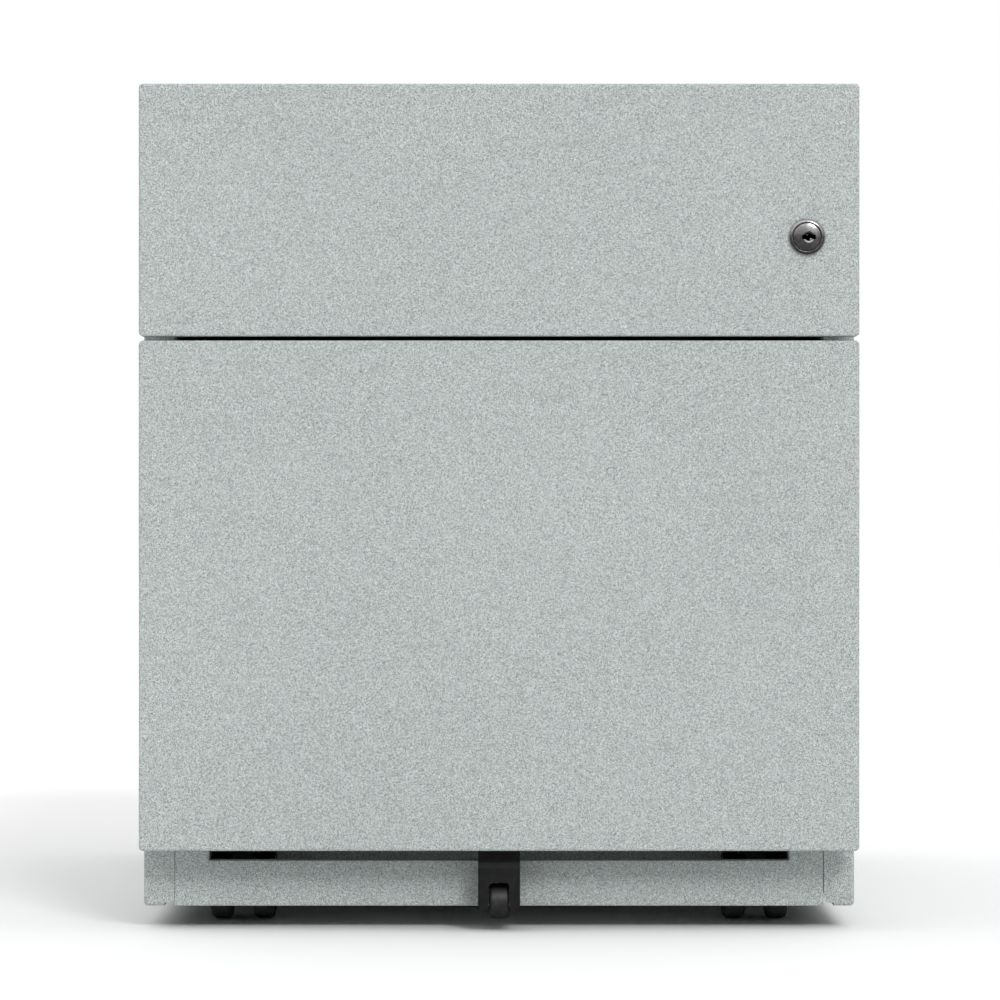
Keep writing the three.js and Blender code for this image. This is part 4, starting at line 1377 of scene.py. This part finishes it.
    def bar(self) -> None:
        """The lock bar, with its slotted tab and a hook for each drawer."""
        box = Extent.of("lock_bar")
        y = box.low.y
        bar = Shape()
        bar.block((box.high.x - 2, y, box.low.z), (box.high.x, box.high.y, box.high.z))
        bar.soften(0.3, 2)
        inner, (x, _, z) = box.high.x - 1, self.pin
        tabs = [((box.low.x, y, z - 5.5), (inner, y + 2, z + 5.5))]
        for drawer in ("top", "file"):
            top = Extent.of(f"{drawer}_drawer_catch").low.z - self.hook_gap
            tabs.append(((180.5, y + 4, top - 10.0), (inner, y + 6, top)))
        for low, high in tabs:
            tab = Shape()
            tab.block(low, high)
            bar.join(tab.soften(0.3, 2))
        half = self.crank_pin + 0.5
        slot = Shape()
        slot.block((x - half, y - 1, z - half), (188.8, y + 3, z + half))
        slot.soften(1.2, 4)
        bar.cut(slot)
        bar.piece("lock_bar_strip", ZincPlate(), "lock_bar_body", Slot.ZINC, "lock_bar")

    def build(self) -> None:
        """Builds the lock."""
        self.housing()
        self.nut()
        self.core()
        self.wards()
        self.cam()
        self.bar()


# ---------------------------------------------------------------- castors


@dataclass
class Castor:
    """A twin-wheel castor: plate, hood, axle, hub caps and wheels."""

    place: str
    wheel_radius: float = 20.0
    tread_round: float = 3.8
    wall: float = 1.6
    clearance: float = 1.0
    # Painted light: the castor wheels' plastic is lighter than the fifth wheel's, standing in for light that
    # the skirt's shade keeps off them.
    tread: TreadPlastic = TreadPlastic(black=(0.070, 0.071, 0.071), scuffed=(0.130, 0.130, 0.127))

    def __post_init__(self) -> None:
        """Finds the castor's axle and pivot."""
        self.hood_box = Extent.of(f"{self.place}_castor_hood")
        self.plate_box = Extent.of(f"{self.place}_castor_plate")
        self.axle = Extent.of(f"{self.place}_castor_axle").centre
        self.pivot = self.plate_box.centre
        self.half_web = Extent.of(f"{self.place}_castor_right_wheel").low.x - self.axle.x - 0.5

    def wheel(self, side: Side) -> None:
        """A wheel with a rounded tread, a dished face with ribs and a hub cap."""
        node = f"{self.place}_castor_{side.word}_wheel"
        near = self.half_web + 0.5
        width = Extent.of(node).size.x
        far = near + width
        r, e = self.wheel_radius, self.tread_round
        rounding = shoulder(r, near, e, 6)
        outer = [(x, near + far - h) for x, h in reversed(rounding)]
        profile = [
            (2.6, near),
            *rounding,
            (r - 0.25, near + width / 2 - 0.6),
            (r - 0.25, near + width / 2 + 0.6),
            *outer,
            (r - e - 1.2, far),
            (r - e - 2.4, far - 1.4),
            (7.6, far - 2.0),
            (7.0, far - 0.9),
            (6.2, far - 0.5),
            (2.6, far - 0.5),
        ]
        shape = Shape()
        shape.turned(Axis.X, (0, self.axle.y, self.axle.z), profile, 64)
        for step in range(8):
            rib = Shape()
            foot, tip = self.axle.z + 6.8, self.axle.z + r - e - 1.6
            rib.block((far - 2.6, self.axle.y - 0.7, foot), (far - 1.1, self.axle.y + 0.7, tip))
            bmesh.ops.rotate(
                rib.bm,
                cent=(0, self.axle.y, self.axle.z),
                matrix=Matrix.Rotation(2 * math.pi * step / 8, 3, "X"),
                verts=rib.bm.verts[:],
            )
            shape.take(rib.soften(0.25, 2))
        shape.for_side(side).moved((self.axle.x, 0, 0))
        shape.piece(f"{self.place}_wheel_{side.word}", self.tread, f"{node}_body", Slot.WHEEL, node)

    def hood(self) -> None:
        """The body: a web between the wheels, a fender over them and the swivel boss."""
        guard = self.half_web + 0.5 + Extent.of(f"{self.place}_castor_right_wheel").size.x
        inner = self.wheel_radius + self.clearance
        x, y, z = self.axle
        fender = Shape()
        start, end = math.radians(-21.6), math.radians(154.8)
        lip_y, lip_z = y + inner * math.cos(start), z + inner * math.sin(start)
        ends = [fender.bm.verts.new((x + sign * guard, lip_y, lip_z)) for sign in (-1, 1)]
        line = fender.bm.edges.new(ends)
        sweep = end - start
        bmesh.ops.spin(fender.bm, geom=ends + [line], cent=(x, y, z), axis=(1, 0, 0), angle=sweep, steps=28)
        fender.bm.normal_update()
        first = fender.bm.faces[:][0]
        if first.normal.dot(first.calc_center_median() - Vector((x, y, z))) > 0:
            bmesh.ops.reverse_faces(fender.bm, faces=fender.bm.faces[:])
        bmesh.ops.solidify(fender.bm, geom=fender.bm.faces[:], thickness=-self.wall)
        fender.outward()
        web = Shape()
        left, right = x - self.half_web, x + self.half_web
        top = self.hood_box.high.z
        web.rod(Axis.X, (x, y, z), 6.6, (left, right), 40)
        neck = Shape()
        neck.block((left, self.pivot.y - 7, z - 1.5), (right, y + 6, top - 1))
        back = Shape()
        back.block((left, y - 14, z + 8), (right, y + 16, z + inner + 0.4))
        boss = Shape()
        boss.turned(
            Axis.Z,
            self.pivot,
            [(0.0, z + inner - 1), (11.0, z + inner - 1), (11.0, top - 1.2), (9.8, top), (0.0, top)],
            48,
        )
        fender.join(web, neck, back, boss)
        bore = Shape()
        bore.rod(Axis.Z, self.pivot, 4.16, (self.plate_box.low.z - 1, top + 1), 32)
        hole = Shape()
        hole.rod(Axis.X, (x, y, z), 2.58, (x - 9, x + 9), 24)
        fender.cut(bore, hole)
        fender.soften(0.45, 2, 50)
        castor = f"{self.place}_castor"
        fender.piece(f"{castor}_body", BlackNylon(), castor, Slot.PLASTIC, f"{castor}_hood")

    def plate(self) -> None:
        """The mounting plate with rounded corners, its pivot and four screws."""
        box = self.plate_box
        top = box.high.z
        shape = Shape()
        shape.block((box.low.x, box.low.y, top - 1.7), (box.high.x, box.high.y, top))
        shape.bevel(shape.edges(lambda e: abs(e.verts[0].co.z - e.verts[1].co.z) > 1), 4.0, 6)
        shape.soften(0.25, 2)
        shape.turned(
            Axis.Z,
            self.pivot,
            [(0.0, box.low.z), (3.4, box.low.z), (4.0, box.low.z + 0.6), (4.0, top - 1.0), (0.0, top - 1.0)],
            32,
        )
        for sx in (-1, 1):
            for sy in (-1, 1):
                place = (self.pivot.x + sx * 14.2, self.pivot.y + sy * 14.2, top - 1.7)
                shape.take(cross_screw(Axis.Z, place, 3.2, 1.0, -1))
        castor = f"{self.place}_castor"
        shape.piece(f"{castor}_fixing", ZincPlate(), "carcass", Slot.ZINC, f"{castor}_plate")

    def pin(self) -> None:
        """The axle with chamfered ends."""
        node = f"{self.place}_castor_axle"
        shape = Shape()
        shape.rod(Axis.X, self.axle, 2.5, Extent.of(node).span(Axis.X), 32)
        shape.soften(0.5, 2)
        shape.piece(f"{self.place}_axle_pin", ZincPlate(), f"{self.place}_castor", Slot.ZINC, node)

    def build(self) -> None:
        """Builds the castor."""
        self.plate()
        self.hood()
        self.pin()
        for side in Side:
            self.wheel(side)


@dataclass
class FifthWheel:
    """The anti-tilt wheel and its housing under the filing drawer's front."""

    well: float = 12.6
    roller: float = 11.6
    wall: float = 2.0
    ridge: float = 6.7
    ledge: float = 8.0
    tread_round: float = 1.9

    def __post_init__(self) -> None:
        """Finds its box and axle."""
        self.box = Extent.of("fifth_wheel_housing")
        self.wheel_box = Extent.of("fifth_wheel")
        self.axle = self.wheel_box.centre

    def housing(self) -> None:
        """Two cheeks under a block whose face steps back above a sloping ridge."""
        low, high = self.box.low, self.box.high
        shape = Shape()
        shape.block(low, high)
        bottom = shape.edges(lambda e: all(v.co.z < low.z + 0.01 for v in e.verts))
        feet = [e for e in bottom if abs(e.verts[0].co.x - e.verts[1].co.x) < 1]
        shape.bevel(feet, 2.2, 5)
        shelf = high.z - self.ridge
        step = Shape()
        step.block((low.x - 1, low.y - 1, shelf), (high.x + 1, low.y + self.ledge, high.z + 1))
        shape.cut(step)
        nose = shape.edges(
            lambda e: all(v.co.y < low.y + 0.02 and abs(v.co.z - shelf) < 0.02 for v in e.verts)
        )
        shape.bevel(nose, 3.0, 1)
        column = Shape()
        column.block((low.x, low.y, low.z - 1), (high.x, high.y, high.z + 1))
        column.bevel(column.edges(lambda e: abs(e.verts[0].co.z - e.verts[1].co.z) > 5), 1.4, 4)
        shape.keep(column)
        half = self.well / 2
        hollow = Shape()
        hollow.block((-half, low.y + self.wall, low.z - 1), (half, high.y - self.wall, shelf - 3.5))
        window = Shape()
        top = self.wheel_box.high.z + 1.5
        window.block((-half, low.y - 1, low.z - 1), (half, high.y + 1, top))
        crown = window.edges(lambda e: all(abs(v.co.z - top) < 0.01 for v in e.verts))
        window.bevel([e for e in crown if e.verts[0].co.y != e.verts[1].co.y], 1.6, 5)
        bore = Shape()
        bore.rod(Axis.X, self.axle, 1.58, (low.x - 1, high.x + 1), 24)
        shape.cut(hollow, window, bore)
        shape.soften(0.4, 3, 50)
        shape.piece("fifth_wheel_bracket", BlackNylon(), "file_drawer", Slot.PLASTIC, "fifth_wheel_housing")

    def wheel(self) -> None:
        """A small solid wheel with rounded edges."""
        r = self.wheel_box.size.z / 2
        half = self.roller / 2
        rounding = shoulder(r, -half, self.tread_round, 5)
        profile = [
            (1.58, -half + 0.6),
            (3.4, -half + 0.6),
            (3.8, -half),
            *rounding,
            *[(x, -h) for x, h in reversed(rounding)],
            (3.8, half),
            (3.4, half - 0.6),
            (1.58, half - 0.6),
        ]
        shape = Shape()
        shape.turned(Axis.X, self.axle, profile, 56)
        shape.piece("fifth_wheel_roller", TreadPlastic(), "fifth_wheel_body", Slot.WHEEL, "fifth_wheel")

    def pin(self) -> None:
        """The axle with chamfered ends."""
        shape = Shape()
        shape.rod(Axis.X, self.axle, 1.5, Extent.of("fifth_wheel_axle").span(Axis.X), 24)
        shape.soften(0.3, 2)
        shape.piece("fifth_wheel_pin", ZincPlate(), "file_drawer", Slot.ZINC, "fifth_wheel_axle")

    def build(self) -> None:
        """Builds the wheel and its housing."""
        self.housing()
        self.pin()
        self.wheel()


# ---------------------------------------------------------------- the studio


@dataclass
class Studio:
    """A pale floor, soft light and a level camera straight in front."""

    distance: float = 2.4
    eye: float = 0.250
    dim: float = 0.05
    zenith: float = 1.15
    widths_per_metre: float = 1.7167
    shift: Point2 = (0.0009, 0.004)

    def floor(self) -> None:
        """The floor, with a faint mottle, which polished things reflect as if it were dim."""
        bpy.ops.mesh.primitive_plane_add(size=24, location=(0, 0, 0))
        plane = bpy.context.object
        plane.name = "studio_floor"
        tree = Tree("StudioFloor")
        seen = tree.add("LightPath").outputs["Is Glossy Ray"]
        mottle = tree.noise(0.4, 2.0, 0.5)
        pale = tree.tint(mottle, (0.95, 0.95, 0.95), (0.97, 0.97, 0.97))
        both = tree.add("Mix", {"data_type": "RGBA"})
        tree.set(both, "Factor", seen)
        tree.set(both, 6, pale)
        tree.set(both, 7, (0.07, 0.07, 0.07, 1.0))
        finish = tree.shade(Base_Color=both.outputs[2], Roughness=0.7, Specular_IOR_Level=0.1)
        plane.data.materials.append(finish)

    def surroundings(self) -> None:
        """A soft sky, bright overhead and dim at eye level, on a plain white ground."""
        world = bpy.data.worlds.new("studio")
        world.use_nodes = True
        nodes, links = world.node_tree.nodes, world.node_tree.links
        ground = nodes["Background"]
        place = nodes.new("ShaderNodeTexCoord")
        split = nodes.new("ShaderNodeSeparateXYZ")
        links.new(place.outputs["Generated"], split.inputs[0])
        rise = nodes.new("ShaderNodeMapRange")
        rise.interpolation_type = "SMOOTHSTEP"
        links.new(split.outputs["Z"], rise.inputs["Value"])
        ends = {"From Min": -0.1, "From Max": 0.8, "To Min": self.dim, "To Max": self.zenith}
        for name, value in ends.items():
            rise.inputs[name].default_value = value
        path = nodes.new("ShaderNodeLightPath")
        choose = nodes.new("ShaderNodeMix")
        links.new(path.outputs["Is Camera Ray"], choose.inputs["Factor"])
        links.new(rise.outputs["Result"], choose.inputs[2])
        choose.inputs[3].default_value = 1.0
        links.new(choose.outputs[0], ground.inputs["Strength"])
        ground.inputs["Color"].default_value = (1, 1, 1, 1)
        bpy.context.scene.world = world

    def sun(self, name: str, place: Point3, angle: float, strength: float) -> None:
        """A broad distant light.

        Args:
            name: The light's name.
            place: A point that it shines from, towards the cabinet's middle.
            angle: Its width in degrees.
            strength: Its strength in watts on a square metre.
        """
        data = bpy.data.lights.new(name, "SUN")
        data.angle = math.radians(angle)
        data.energy = strength
        sun = bpy.data.objects.new(name, data)
        bpy.context.scene.collection.objects.link(sun)
        sun.location = place
        sun.rotation_euler = (Vector((0, 0, 0.25)) - Vector(place)).to_track_quat("-Z", "Y").to_euler()

    def camera(self) -> None:
        """A long lens at the height of the drawers' middle."""
        data = bpy.data.cameras.new("camera")
        data.sensor_width = 36.0
        face = Extent.of("top_drawer_front").low.y * METRES
        data.lens = self.widths_per_metre * self.distance * data.sensor_width
        data.shift_x, data.shift_y = self.shift
        camera = bpy.data.objects.new("camera", data)
        bpy.context.scene.collection.objects.link(camera)
        camera.location = (0.0, face - self.distance, self.eye)
        camera.rotation_euler = (math.pi / 2, 0, 0)
        bpy.context.scene.camera = camera

    def build(self) -> None:
        """Sets the floor, the lights, the surroundings and the camera."""
        scene = bpy.context.scene
        scene.view_settings.view_transform = "Standard"
        scene.view_settings.look = "None"
        self.surroundings()
        self.floor()
        self.sun("key", (1.0, -2.5, 2.1), 16.0, 1.06)
        self.camera()


DRESSING: dict[Slot, Finish] = {
    Slot.COAT: PowderCoat(),
    Slot.ZINC: ZincPlate(),
    Slot.PLASTIC: BlackNylon(),
    Slot.WHEEL: TreadPlastic(),
    Slot.NICKEL: BlackNickel(),
}


def dress_kept_nodes(frame: dict) -> None:
    """Gives each CAD node that still shows its finish.
    """
    slots = {part["node"]: Slot(part["material_slot"]) for part in frame["record"]["subparts"]}
    for name, thing in frame["nodes"].items():
        if thing.hide_render:
            continue
        thing.data.materials.clear()
        thing.data.materials.append(DRESSING[slots[name]].material())
        log.info("%s keeps its shape, in %s", name, slots[name].value)


def corners(box: Iterable[Iterable[float]]) -> list[list[float]]:
    """A box's corners as plain lists."""
    return [[float(c) for c in corner] for corner in box]


def main() -> None:
    """Builds the pedestal around the frame, then the studio."""
    logging.basicConfig(level=logging.INFO, format="%(name)s: %(message)s")
    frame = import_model()
    Lock().build()
    Carcass().build()
    Drawer("top", lock_hole=True).build()
    Drawer("file").build()
    FileRails().build()
    for drawer in ("top", "file"):
        Slide(drawer).build()
    for place in ("front_left", "front_right", "rear_left", "rear_right"):
        Castor(place).build()
    FifthWheel().build()
    dress_kept_nodes(frame)
    Studio().build()


if __name__ == "__main__":
    main()
